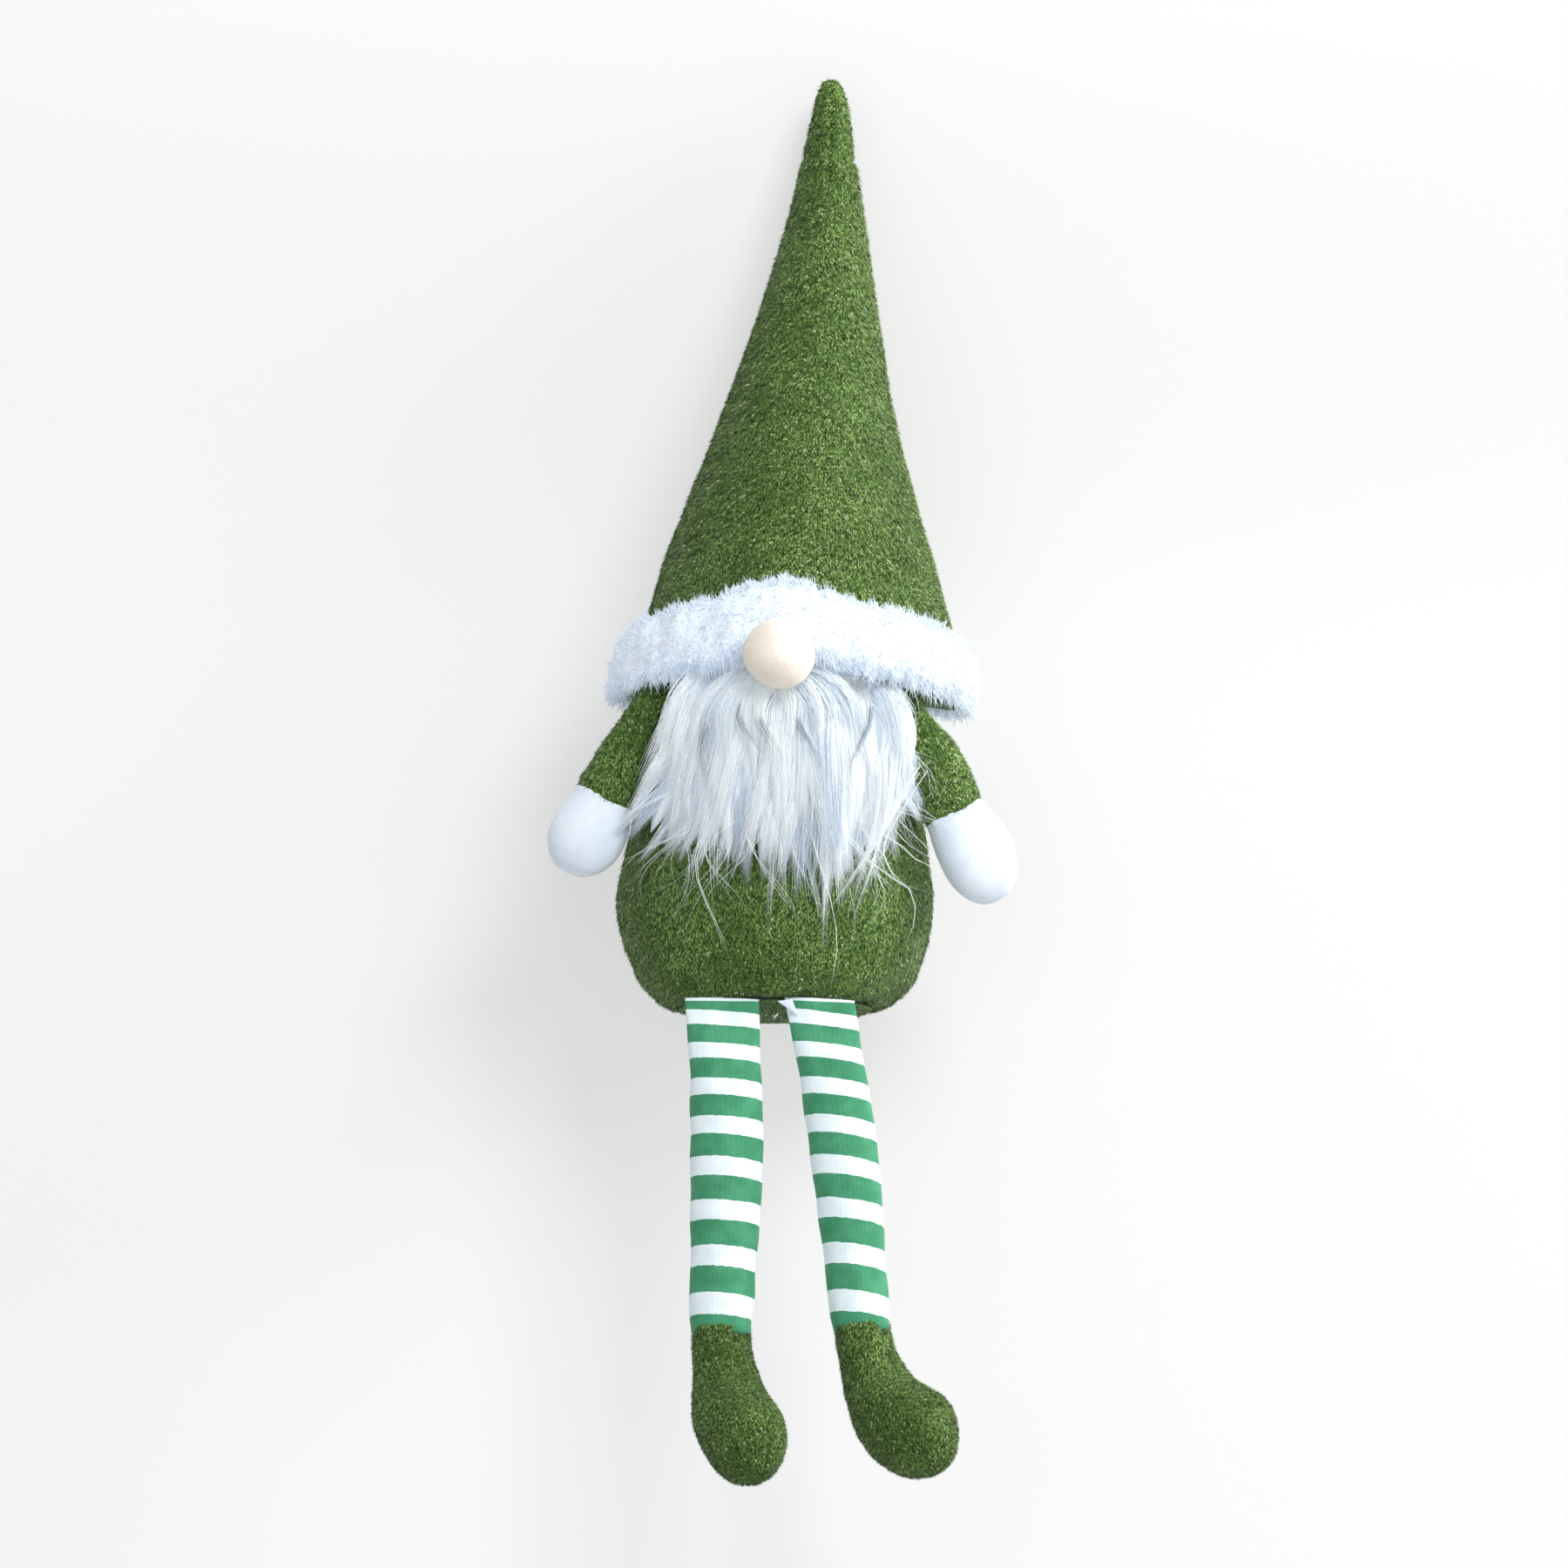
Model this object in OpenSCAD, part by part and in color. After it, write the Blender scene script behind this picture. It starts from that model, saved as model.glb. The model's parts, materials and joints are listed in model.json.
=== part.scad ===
/* Plush tomte gnome: a stuffed shelf sitter with a pointed hat, hanging arms and dangling legs.
   Millimetres. +Z up, the gnome faces -Y. Origin at the centre of the flat seat under the body.
   Left and right are the gnome's own, so left is +X. */

/* [Body] */
// Width of the body at its widest
body_w = 112; // [108:1:116]
// Depth of the body at its widest
body_d = 96; // [92:1:100]
// Height of the seam between the body and the base panel
base_seam_z = 1.8; // [1.6:0.1:2.4]
// Thickness of the plush cloth
cloth_t = 1.4; // [1.2:0.1:1.6]

/* [Hat] */
// Width of the hat at its hem
hat_w = 118; // [114:1:122]
// Height of the hem above the seat, at the hat's axis
brim_z = 116; // [114:0.5:117]
// Tilt of the hem's front half, raised over the face
brim_pitch = 12; // [10:0.5:13]
// Tilt of the hem's back half, raised a little towards the nape
brim_back_pitch = 2; // [0:0.5:4]
// Sideways tilt of the hem, lower at the gnome's left
brim_roll = 3.5; // [2:0.5:4]
// Height of the crease where the tip folds over
crease_z = 303.7; // [300:0.1:306]
// Height of the hat's very tip
tip_z = 336; // [333:0.5:338]
// Height of the fur band
trim_h = 27; // [24:1:30]
// Depth of the fur on the band
trim_pile_t = 7; // [5:0.5:8]

/* [Face] */
// Diameter of the nose
nose_d = 25; // [22:0.5:27]
// Width of the beard at its widest
beard_w = 69; // [60:1:71]
// Height of the beard's lower end above the seat
beard_end_z = 40; // [36:1:46]

/* [Arms] */
// Length of an arm from the shoulder to the end of the mitten
arm_len = 74; // [68:0.5:76]
// Length of the sleeve, from the shoulder to the cuff
sleeve_len = 41; // [38:0.5:44]
// Angle at which the arms hang away from the vertical
arm_angle = 27; // [27:0.5:30]
// Width of a mitten
mitten_w = 26; // [23:0.5:26]

/* [Legs] */
// Width of a leg at the top
leg_w = 24.6; // [23:0.2:25]
// Thickness of a stuffed leg, front to back
leg_t = 16; // [14:0.5:17]
// Distance from the hip seam down to the ankle
leg_len = 122; // [118:1:124]
// Distance between the two hip centres
hip_spacing = 37; // [36:0.5:40]
// Outward splay of the left leg
left_splay = 7.4; // [5:0.2:9]
// Backward lean of the hanging legs, which puts their weight under the hip seams
leg_lean = 1.3; // [0:0.1:3]

/* [Boots] */
// Turn of the right boot's toe towards the gnome's left
right_toe_turn = 30; // [20:1:40]
// Turn of the left boot's toe towards the gnome's left
left_toe_turn = 50; // [40:1:60]
// Width of a boot across the foot
boot_w = 29; // [26:0.5:30]

/* [Hidden] */
$fn = 48;

right = -1;
left = 1;
// Gap between a cover and what fills it, and between surfaces that move past each other
fit_gap = 0.1;
move_gap = 0.3;
// Larger than the object, for cutting planes
far = 400;

plush_green = "#6f8a4c";
knit_green = "#3f9a6c";
snow_white = "#f2f5f8";
skin_cream = "#f3e6d6";
card_grey = "#c9c6bd";
fill_white = "#fafafa";

/* ---------- Lofting ---------- */

// Catmull-Rom value between b and c
function spline(a, b, c, d, t) =
    0.5 * (2 * b + (c - a) * t + (2 * a - 5 * b + 4 * c - d) * t * t + (3 * b - a - 3 * c + d) * t * t * t);

// Adds rows between the stations of a profile so that it runs smoothly
function smooth_rows(rows, steps = 2) = let (last = len(rows) - 1) concat(
    [for (i = [0:last - 1]) for (k = [0:steps - 1])
        spline(rows[max(i - 1, 0)], rows[i], rows[i + 1], rows[min(i + 2, last)], k / steps)],
    [rows[last]]
);

// A row is [centre x, centre y, z, half width, half depth, roundness]; 2 is an ellipse, more is squarer
function ring(row, grow, sides) = [for (i = [0:sides - 1])
    let (a = 360 * i / sides, c = cos(a), s = sin(a), p = 2 / row[5]) [
        row[0] + (row[3] + grow) * sign(c) * pow(abs(c), p),
        row[1] + (row[4] + grow) * sign(s) * pow(abs(s), p),
        row[2]
    ]];

// Faces of a tube of stacked rings, closed at both ends
function tube_faces(count, sides) = concat(
    [[for (i = [0:sides - 1]) i]],
    [for (j = [0:count - 2]) for (i = [0:sides - 1])
        [j * sides + i, (j + 1) * sides + i, (j + 1) * sides + (i + 1) % sides]],
    [for (j = [0:count - 2]) for (i = [0:sides - 1])
        [j * sides + i, (j + 1) * sides + (i + 1) % sides, j * sides + (i + 1) % sides]],
    [[for (i = [sides - 1:-1:0]) (count - 1) * sides + i]]
);

// Solid through rows that rise in z
module loft(rows, grow = 0, sides = 28) {
    polyhedron([for (r = rows) each ring(r, grow, sides)], tube_faces(len(rows), sides));
}

// The same profile made smaller by t all round, ends included
function shrink(rows, t) = let (
    low = rows[0][2],
    high = rows[len(rows) - 1][2],
    middle = (low + high) / 2,
    k = 1 - 2 * t / (high - low)
) [for (r = rows) [r[0], r[1], middle + (r[2] - middle) * k, max(r[3] - t, 0.2), max(r[4] - t, 0.2), r[5]]];

// Half space between two heights, wide enough for the whole object
module slab(z_low, z_high) {
    translate([-far / 2, -far / 2, z_low]) cube([far, far, z_high - z_low]);
}

/* ---------- Body ---------- */

half_w = body_w / 2;
half_d = body_d / 2;
body_rows = smooth_rows([
    [0, 0, 0, half_w * 0.50, half_d * 0.56, 2.2],
    [0, 0, base_seam_z, half_w * 0.62, half_d * 0.71, 2.3],
    [0, 0, 8, half_w * 0.80, half_d * 0.86, 2.3],
    [0, 0, 20, half_w * 0.93, half_d * 0.96, 2.2],
    [0, 0, 38, half_w, half_d, 2.1],
    [0, 0, 54, half_w * 0.965, half_d * 0.985, 2.1],
    [0.6, 0, 72, half_w * 0.905, half_d * 0.95, 2.1],
    [1.6, 0, 92, half_w * 0.83, half_d * 0.905, 2.1],
    [2.6, 0, 112, half_w * 0.765, half_d * 0.86, 2.1],
    [3.4, 0, 138, half_w * 0.73, half_d * 0.82, 2.1]
]);

// Space between two heights over the hat's hem, which rises to the front and a little to the back
hat_axis_x = 5.5;
module brim_slab(low, high) {
    reach = far / 2;
    front_rise = tan(brim_pitch) * reach;
    back_rise = tan(brim_back_pitch) * reach;
    translate([hat_axis_x, 0, brim_z]) rotate([0, brim_roll, 0]) translate([-reach, 0, 0])
        rotate([90, 0, 90]) linear_extrude(far) polygon([
            [-reach, low + front_rise], [0, low], [reach, low + back_rise],
            [reach, high + back_rise], [0, high], [-reach, high + front_rise]
        ]);
}

module body_shell() {
    difference() {
        loft(body_rows);
        loft(shrink(body_rows, cloth_t));
    }
}

module body_half(toward_y) {
    intersection() {
        body_shell();
        slab(base_seam_z, far);
        brim_slab(-far, cloth_t);
        translate([-far / 2, toward_y > 0 ? 0 : -far / 2, 0]) cube([far, far / 2, far]);
    }
}

module body_front_panel() {
    color(plush_green) body_half(-1);
}

module body_back_panel() {
    color(plush_green) body_half(1);
}

module base_panel() {
    color(plush_green) intersection() {
        body_shell();
        slab(0, base_seam_z);
    }
}

// Flat round pouch of pellets that weighs the seat down
pouch_r = 29;
pouch_h = 15;
pouch_z = 3.2;
module pouch(inset) {
    edge_r = pouch_h / 2 - inset;
    translate([0, 0, pouch_z + pouch_h / 2]) rotate_extrude() union() {
        translate([0, -edge_r]) square([pouch_r - pouch_h / 2, 2 * edge_r]);
        intersection() {
            translate([pouch_r - pouch_h / 2, 0]) circle(edge_r);
            translate([pouch_r - pouch_h / 2, -edge_r]) square([edge_r, 2 * edge_r]);
        }
    }
}

pouch_cloth_t = 0.6;
pouch_mouth_r = 4;
module pellet_bag() {
    color(card_grey) difference() {
        pouch(0);
        pouch(pouch_cloth_t);
        translate([0, 0, pouch_z + pouch_h / 2]) cylinder(r = pouch_mouth_r, h = pouch_h);
    }
}

module pellet_fill() {
    color(card_grey) pouch(pouch_cloth_t + fit_gap);
}

module body_stuffing() {
    color(fill_white) difference() {
        loft(shrink(body_rows, cloth_t + fit_gap));
        pouch(-fit_gap);
        brim_slab(cloth_t, far);
    }
}

/* ---------- Hat ---------- */

hem = hat_w / 2;
hat_rows = smooth_rows([
    [4.4, 0, 96, hem * 1.04, hem * 0.94, 2],
    [5.2, 0, 112, hem, hem * 0.90, 2],
    [7.0, 0.6, 134, hem * 0.942, hem * 0.86, 2],
    [7.8, 1.6, 151, hem * 0.855, hem * 0.79, 2],
    [8.8, 3.0, 176, hem * 0.727, hem * 0.69, 2],
    [10.4, 4.6, 201, hem * 0.592, hem * 0.57, 2],
    [12.5, 6.6, 226, hem * 0.465, hem * 0.455, 2],
    [15.0, 8.4, 252, hem * 0.360, hem * 0.355, 2],
    [17.3, 10.4, 277, hem * 0.268, hem * 0.266, 2],
    [18.9, 12.2, crease_z, hem * 0.180, hem * 0.180, 2]
]);

module hat_cone() {
    color(plush_green) difference() {
        loft(hat_rows);
        intersection() {
            loft(shrink(hat_rows, cloth_t));
            brim_slab(cloth_t + fit_gap, far);
        }
        brim_slab(-far, fit_gap);
        loft(body_rows, grow = fit_gap);
    }
}

module hat_stuffing() {
    color(fill_white) intersection() {
        loft(shrink(hat_rows, cloth_t + fit_gap));
        brim_slab(cloth_t + 2 * fit_gap, far);
    }
}

// Ring around the hat, from one depth of cloth to another
module hat_band(inner, outer, low, high) {
    intersection() {
        difference() {
            loft(hat_rows, grow = outer);
            loft(hat_rows, grow = inner);
        }
        brim_slab(low, high);
    }
}

trim_backing_t = 1;
module hat_trim_backing() {
    color(snow_white) difference() {
        hat_band(fit_gap, trim_backing_t, 1, trim_h - 1);
        nose_ball(fit_gap);
    }
}

module hat_trim_pile() {
    color(snow_white) difference() {
        hat_band(trim_backing_t + fit_gap, trim_backing_t + trim_pile_t, 0, trim_h);
        nose_ball(fit_gap);
    }
}

// The tip is round below, so that it turns on the top of the cone without cutting into it
tip_ball_r = 8.8;
tip_pivot = [19.3, 12.9, crease_z + move_gap + tip_ball_r];
tip_rise = tip_z - tip_pivot[2];
tip_rows = concat(
    [for (a = [-86, -66, -44, -22])
        [tip_pivot[0], tip_pivot[1], tip_pivot[2] + tip_ball_r * sin(a), tip_ball_r * cos(a), tip_ball_r * cos(a), 2]],
    [for (k = [[0, 1], [0.22, 0.93], [0.46, 0.78], [0.70, 0.58], [0.88, 0.37], [0.97, 0.19], [1, 0.04]])
        [tip_pivot[0] + k[0], tip_pivot[1] + k[0], tip_pivot[2] + k[0] * tip_rise,
            tip_ball_r * k[1], tip_ball_r * k[1], 2]]
);
tip_mouth_r = 3;

module hat_tip_cap() {
    color(plush_green) difference() {
        loft(tip_rows, sides = 20);
        loft(shrink(tip_rows, cloth_t), sides = 20);
        translate([tip_pivot[0], tip_pivot[1], crease_z]) cylinder(r = tip_mouth_r, h = tip_ball_r);
    }
}

module hat_tip_stuffing() {
    color(fill_white) loft(shrink(tip_rows, cloth_t + fit_gap), sides = 20);
}

/* ---------- Beard and nose ---------- */

beard_top_z = 117;
beard_h = beard_top_z - beard_end_z;
beard_half_w = beard_w / 2;
beard_x = 2.5;
beard_rows = smooth_rows([
    [beard_x, -41, beard_end_z, beard_half_w * 0.18, 10, 2],
    [beard_x, -41, beard_end_z + beard_h * 0.14, beard_half_w * 0.62, 16, 2],
    [beard_x, -39, beard_end_z + beard_h * 0.33, beard_half_w * 0.92, 23, 2],
    [beard_x, -37, beard_end_z + beard_h * 0.58, beard_half_w, 27, 2],
    [beard_x, -35, beard_end_z + beard_h * 0.82, beard_half_w * 0.97, 27, 2],
    [beard_x, -34, beard_top_z, beard_half_w * 0.90, 23, 2]
]);
beard_backing_t = 1.2;
beard_back_y = -24;

module beard_space(grow) {
    intersection() {
        loft(beard_rows, grow = grow);
        translate([-far / 2, beard_back_y - far, 0]) cube([far, far, far]);
    }
}

module beard_backing() {
    color(snow_white) difference() {
        intersection() {
            loft(body_rows, grow = beard_backing_t);
            beard_space(-2);
        }
        loft(body_rows, grow = fit_gap);
    }
}

module beard_pile() {
    color(snow_white) difference() {
        beard_space(0);
        loft(body_rows, grow = beard_backing_t + fit_gap);
        nose_ball(fit_gap);
    }
}

nose_r = nose_d / 2;
nose_at = [1.5, -63.6, 120.8];
nose_cloth_t = 1;
nose_gather_r = 3;

module nose_ball(grow) {
    translate(nose_at) sphere(r = nose_r + grow);
}

module nose_cover() {
    color(skin_cream) difference() {
        nose_ball(0);
        nose_ball(-nose_cloth_t);
        translate(nose_at) rotate([-90, 0, 0]) cylinder(r = nose_gather_r, h = nose_d);
    }
}

module nose_stuffing() {
    color(fill_white) nose_ball(-nose_cloth_t - fit_gap);
}

/* ---------- Arms ---------- */

right_shoulder = [-40, -26, 113.4];
left_shoulder = [44.5, -26, 106];
tab_r = 4.5;
cuff_half_w = 9.2;
mitten_half_w = mitten_w / 2;
mitten_len = arm_len - sleeve_len;

// Rows of a whole arm that hangs straight down from its shoulder
arm_rows = smooth_rows([
    [0, 0, -arm_len, 1, 1, 2],
    [0, 0, -arm_len + mitten_len * 0.03, mitten_half_w * 0.45, mitten_half_w * 0.34, 2],
    [0, 0, -arm_len + mitten_len * 0.14, mitten_half_w * 0.80, mitten_half_w * 0.60, 2],
    [0, 0, -arm_len + mitten_len * 0.34, mitten_half_w, mitten_half_w * 0.75, 2],
    [0, 0, -arm_len + mitten_len * 0.62, mitten_half_w * 0.97, mitten_half_w * 0.73, 2],
    [0, 0, -sleeve_len, cuff_half_w * 0.98, cuff_half_w * 0.82, 2],
    [0, 0, -sleeve_len * 0.72, cuff_half_w * 0.93, cuff_half_w * 0.78, 2],
    [0, 0, -sleeve_len * 0.40, cuff_half_w * 0.72, cuff_half_w * 0.62, 2],
    [0, 0, -tab_r - move_gap - 1.4, cuff_half_w * 0.52, cuff_half_w * 0.46, 2],
    [0, 0, -tab_r - move_gap, cuff_half_w * 0.44, cuff_half_w * 0.38, 2]
]);

module at_arm(side) {
    translate(side == left ? left_shoulder : right_shoulder) rotate([0, -side * arm_angle, 0]) children();
}

module arm_shell() {
    difference() {
        loft(arm_rows, sides = 20);
        loft(shrink(arm_rows, cloth_t), sides = 20);
    }
}

module shoulder_tab(side) {
    color(plush_green) at_arm(side) sphere(r = tab_r);
}

module sleeve(side) {
    color(plush_green) at_arm(side) intersection() {
        arm_shell();
        slab(-sleeve_len, 0);
    }
}

module mitten(side) {
    color(snow_white) at_arm(side) intersection() {
        arm_shell();
        slab(-arm_len - 1, -sleeve_len);
    }
}

module arm_stuffing(side) {
    color(fill_white) at_arm(side) loft(shrink(arm_rows, cloth_t + fit_gap), sides = 20);
}

/* ---------- Legs ---------- */

hip_y = -34.6;
hip_z = 0.4;
hem_t = 2.4;
hem_drop = 6.9;
// The top of a stocking is a half disc, so that it can tilt sideways under its hem
turn_r = 12.2;
turn_drop = hem_drop + 0.4 + turn_r;
ankle_r = 9.2;
stocking_end = leg_len - ankle_r - move_gap;
leg_half_w = leg_w / 2;
leg_half_t = leg_t / 2;

// Rows of a leg that hangs straight down from the centre about which it tilts
leg_rows = concat(
    smooth_rows([
        [0, 0, turn_drop - stocking_end, leg_half_w * 0.89, 8.6, 2.2],
        [0, 0, (turn_drop - stocking_end) * 0.75, leg_half_w * 0.90, leg_half_t * 1.06, 2.2],
        [0, 0, (turn_drop - stocking_end) * 0.45, leg_half_w * 1.02, leg_half_t * 1.08, 2.2],
        [0, 0, (turn_drop - stocking_end) * 0.15, leg_half_w * 1.02, leg_half_t, 2.2]
    ]),
    [for (a = [0, 18, 36, 54, 70, 82])
        [0, 0, turn_r * sin(a), turn_r * cos(a), 1.2 + (leg_half_t - 1.6) * pow(1 - a / 90, 0.8), 2.2]]
);

module at_hip(side) {
    translate([side * hip_spacing / 2, hip_y, hip_z]) rotate([leg_lean, 0, 0]) children();
}

module at_leg(side) {
    at_hip(side) translate([0, 0, -turn_drop])
        rotate([0, side == left ? -left_splay : 0, 0]) children();
}

module leg_hem(side) {
    color(snow_white) at_hip(side)
        translate([-leg_w / 2, -hem_t / 2, -hem_drop]) cube([leg_w, hem_t, hem_drop + hem_t / 2]);
}

module stocking(side) {
    open_end = turn_drop - stocking_end;
    color(knit_green) at_leg(side) difference() {
        loft(leg_rows, sides = 24);
        loft(shrink(leg_rows, cloth_t), sides = 24);
        intersection() {
            loft(leg_rows, grow = -cloth_t, sides = 24);
            slab(open_end - 1, open_end + 3);
        }
    }
}

module leg_stuffing(side) {
    color(fill_white) at_leg(side) loft(shrink(leg_rows, cloth_t + fit_gap), sides = 24);
}

/* ---------- Boots ---------- */

boot_half_w = boot_w / 2;
// The foot's middle line, as [forward, z, slope of the ring, half width, half height], below the ankle ball
foot_rows = smooth_rows([
    [0, 0, 0, 11, ankle_r, 2],
    [0, -7, 0, 11.4, 9.8, 2],
    [1, -15, 10, boot_half_w * 0.88, 12, 2],
    [4.5, -23, 28, boot_half_w * 0.97, 14.6, 2],
    [10.5, -29.5, 48, boot_half_w, 16.2, 2],
    [18, -34, 62, boot_half_w * 0.945, 15.6, 2],
    [25, -37, 70, boot_half_w * 0.725, 12, 2],
    [28.4, -38.3, 73, boot_half_w * 0.40, 6.6, 2],
    [29.4, -38.7, 74, boot_half_w * 0.05, 0.8, 2]
]);
ball_rows = [for (a = [84, 62, 42, 20])
    [0, ankle_r * sin(a), 0, 11 * cos(a), ankle_r * cos(a), 2]];
boot_rows = concat(ball_rows, foot_rows);

// One ring of the boot, which leans forward with the foot
function boot_ring(row, inset, sides) = [for (i = [0:sides - 1])
    let (a = 360 * i / sides, w = max(row[3] - inset, 0.2), h = max(row[4] - inset, 0.2)) [
        -w * cos(a),
        -row[0] + h * sin(a) * cos(row[2]),
        row[1] - h * sin(a) * sin(row[2])
    ]];

// The rows moved inwards from both ends of the boot
function boot_inset_rows(t) = [for (i = [0:len(boot_rows) - 1])
    let (r = boot_rows[i], k = i < len(ball_rows) ? t : 0, e = i > len(boot_rows) - 4 ? t : 0)
    [r[0] - e, r[1] - k, r[2], r[3], r[4], r[5]]];

module boot_form(inset, sides = 20) {
    rows = boot_inset_rows(inset);
    polyhedron([for (r = rows) each boot_ring(r, inset, sides)], tube_faces(len(rows), sides));
}

module at_boot(side) {
    at_leg(side) translate([0, 0, turn_drop - leg_len])
        rotate([0, 0, side == left ? left_toe_turn : right_toe_turn]) children();
}

// Half of the boot's cover, on the +X or -X side of its centre seam
module boot_half(side, half) {
    color(plush_green) at_boot(side) intersection() {
        difference() {
            boot_form(0);
            boot_form(cloth_t);
        }
        translate([half > 0 ? 0 : -far / 2, -far / 2, -far / 2]) cube([far / 2, far, far]);
    }
}

module boot_stuffing(side) {
    color(fill_white) at_boot(side) boot_form(cloth_t + fit_gap);
}

/* ---------- Output ---------- */

body_front_panel();
body_back_panel();
base_panel();
pellet_bag();
pellet_fill();
body_stuffing();
hat_cone();
hat_stuffing();
hat_trim_backing();
hat_trim_pile();
hat_tip_cap();
hat_tip_stuffing();
beard_backing();
beard_pile();
nose_cover();
nose_stuffing();
shoulder_tab(right);  // right_shoulder_tab
sleeve(right);  // right_sleeve
mitten(right);  // right_mitten
arm_stuffing(right);  // right_arm_stuffing
shoulder_tab(left);  // left_shoulder_tab
sleeve(left);  // left_sleeve
mitten(left);  // left_mitten
arm_stuffing(left);  // left_arm_stuffing
leg_hem(right);  // right_leg_hem
stocking(right);  // right_stocking
leg_stuffing(right);  // right_leg_stuffing
leg_hem(left);  // left_leg_hem
stocking(left);  // left_stocking
leg_stuffing(left);  // left_leg_stuffing
boot_half(right, 1);  // right_boot_inner_panel
boot_half(right, -1);  // right_boot_outer_panel
boot_stuffing(right);  // right_boot_stuffing
boot_half(left, -1);  // left_boot_inner_panel
boot_half(left, 1);  // left_boot_outer_panel
boot_stuffing(left);  // left_boot_stuffing
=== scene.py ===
import json
import math

import bmesh
import bpy
import numpy as np
from mathutils import Matrix, Vector


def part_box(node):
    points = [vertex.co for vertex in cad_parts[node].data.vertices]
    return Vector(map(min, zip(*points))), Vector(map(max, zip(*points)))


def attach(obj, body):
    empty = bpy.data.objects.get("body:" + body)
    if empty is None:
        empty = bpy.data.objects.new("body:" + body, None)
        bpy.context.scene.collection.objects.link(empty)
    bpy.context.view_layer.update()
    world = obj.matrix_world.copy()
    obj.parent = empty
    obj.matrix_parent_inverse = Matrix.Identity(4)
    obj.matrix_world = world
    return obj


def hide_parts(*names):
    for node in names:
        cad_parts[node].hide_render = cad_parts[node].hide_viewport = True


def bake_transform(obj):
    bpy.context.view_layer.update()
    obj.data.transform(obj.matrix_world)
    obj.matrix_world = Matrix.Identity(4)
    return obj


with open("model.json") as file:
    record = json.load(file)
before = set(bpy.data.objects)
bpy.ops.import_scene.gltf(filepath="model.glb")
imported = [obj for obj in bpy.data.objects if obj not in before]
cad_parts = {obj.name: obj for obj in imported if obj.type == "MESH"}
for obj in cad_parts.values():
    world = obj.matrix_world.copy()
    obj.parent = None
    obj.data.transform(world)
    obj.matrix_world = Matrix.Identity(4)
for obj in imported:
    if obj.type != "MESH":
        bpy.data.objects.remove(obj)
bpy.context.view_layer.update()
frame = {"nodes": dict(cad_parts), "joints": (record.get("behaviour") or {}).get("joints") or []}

MM = 0.001
JOINTS = {joint["name"]: joint for joint in frame["joints"]}
SIDES = ("right", "left")


def corners(*nodes):
    """Lowest and highest corner around several nodes, in millimetres."""
    boxes = [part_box(node) for node in nodes]
    low = np.min([box[0] for box in boxes], axis=0) / MM
    high = np.max([box[1] for box in boxes], axis=0) / MM
    return low, high


def joint_at(name):
    return np.array(JOINTS[name]["pos_m"]) / MM


# ---------------------------------------------------------------- camera

VIEW_CENTRE = np.array([3.1, 0.0, 82.5])
VIEW_HEIGHT = 556.0
CAMERA_DISTANCE = 6000.0
CAMERA_ELEVATION = math.radians(-7)
SENSOR = 36.0


def make_camera():
    data = bpy.data.cameras.new("camera")
    data.sensor_width = SENSOR
    data.lens = SENSOR * CAMERA_DISTANCE / VIEW_HEIGHT
    data.clip_end = 20
    camera = bpy.data.objects.new("camera", data)
    back = Vector((0, -math.cos(CAMERA_ELEVATION), math.sin(CAMERA_ELEVATION)))
    camera.location = (Vector(VIEW_CENTRE) + back * CAMERA_DISTANCE) * MM
    camera.rotation_euler = (math.pi / 2 - CAMERA_ELEVATION, 0, 0)
    bpy.context.scene.collection.objects.link(camera)
    bpy.context.scene.camera = camera


make_camera()

# ---------------------------------------------------------------- shader maths


class Value:
    """A socket in a material, so that shader maths reads as arithmetic."""

    def __init__(self, finish, socket):
        self.finish, self.socket = finish, socket

    def math(self, operation, *others):
        node = self.finish.node("ShaderNodeMath", {"operation": operation}, *[self, *others])
        return node.value(0)

    def __add__(self, other):
        return self.math("ADD", other)

    def __sub__(self, other):
        return self.math("SUBTRACT", other)

    def __rsub__(self, other):
        return (self * -1) + other

    def __mul__(self, other):
        return self.math("MULTIPLY", other)

    def below(self, other):
        return self.math("LESS_THAN", other)

    def part(self):
        return self.math("FRACT")

    def sine(self):
        return self.math("SINE")

    def between(self, low, high):
        """0 below low, 1 above high, smooth between them."""
        node = self.finish.node("ShaderNodeMapRange", {"interpolation_type": "SMOOTHSTEP"},
                                self, low, high, 0.0, 1.0)
        return node.value(0)

    __radd__ = __add__


class Made:
    """A node that has its values, with its outputs as values."""

    def __init__(self, finish, node):
        self.finish, self.node = finish, node

    def value(self, output):
        return Value(self.finish, self.node.outputs[output])


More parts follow.
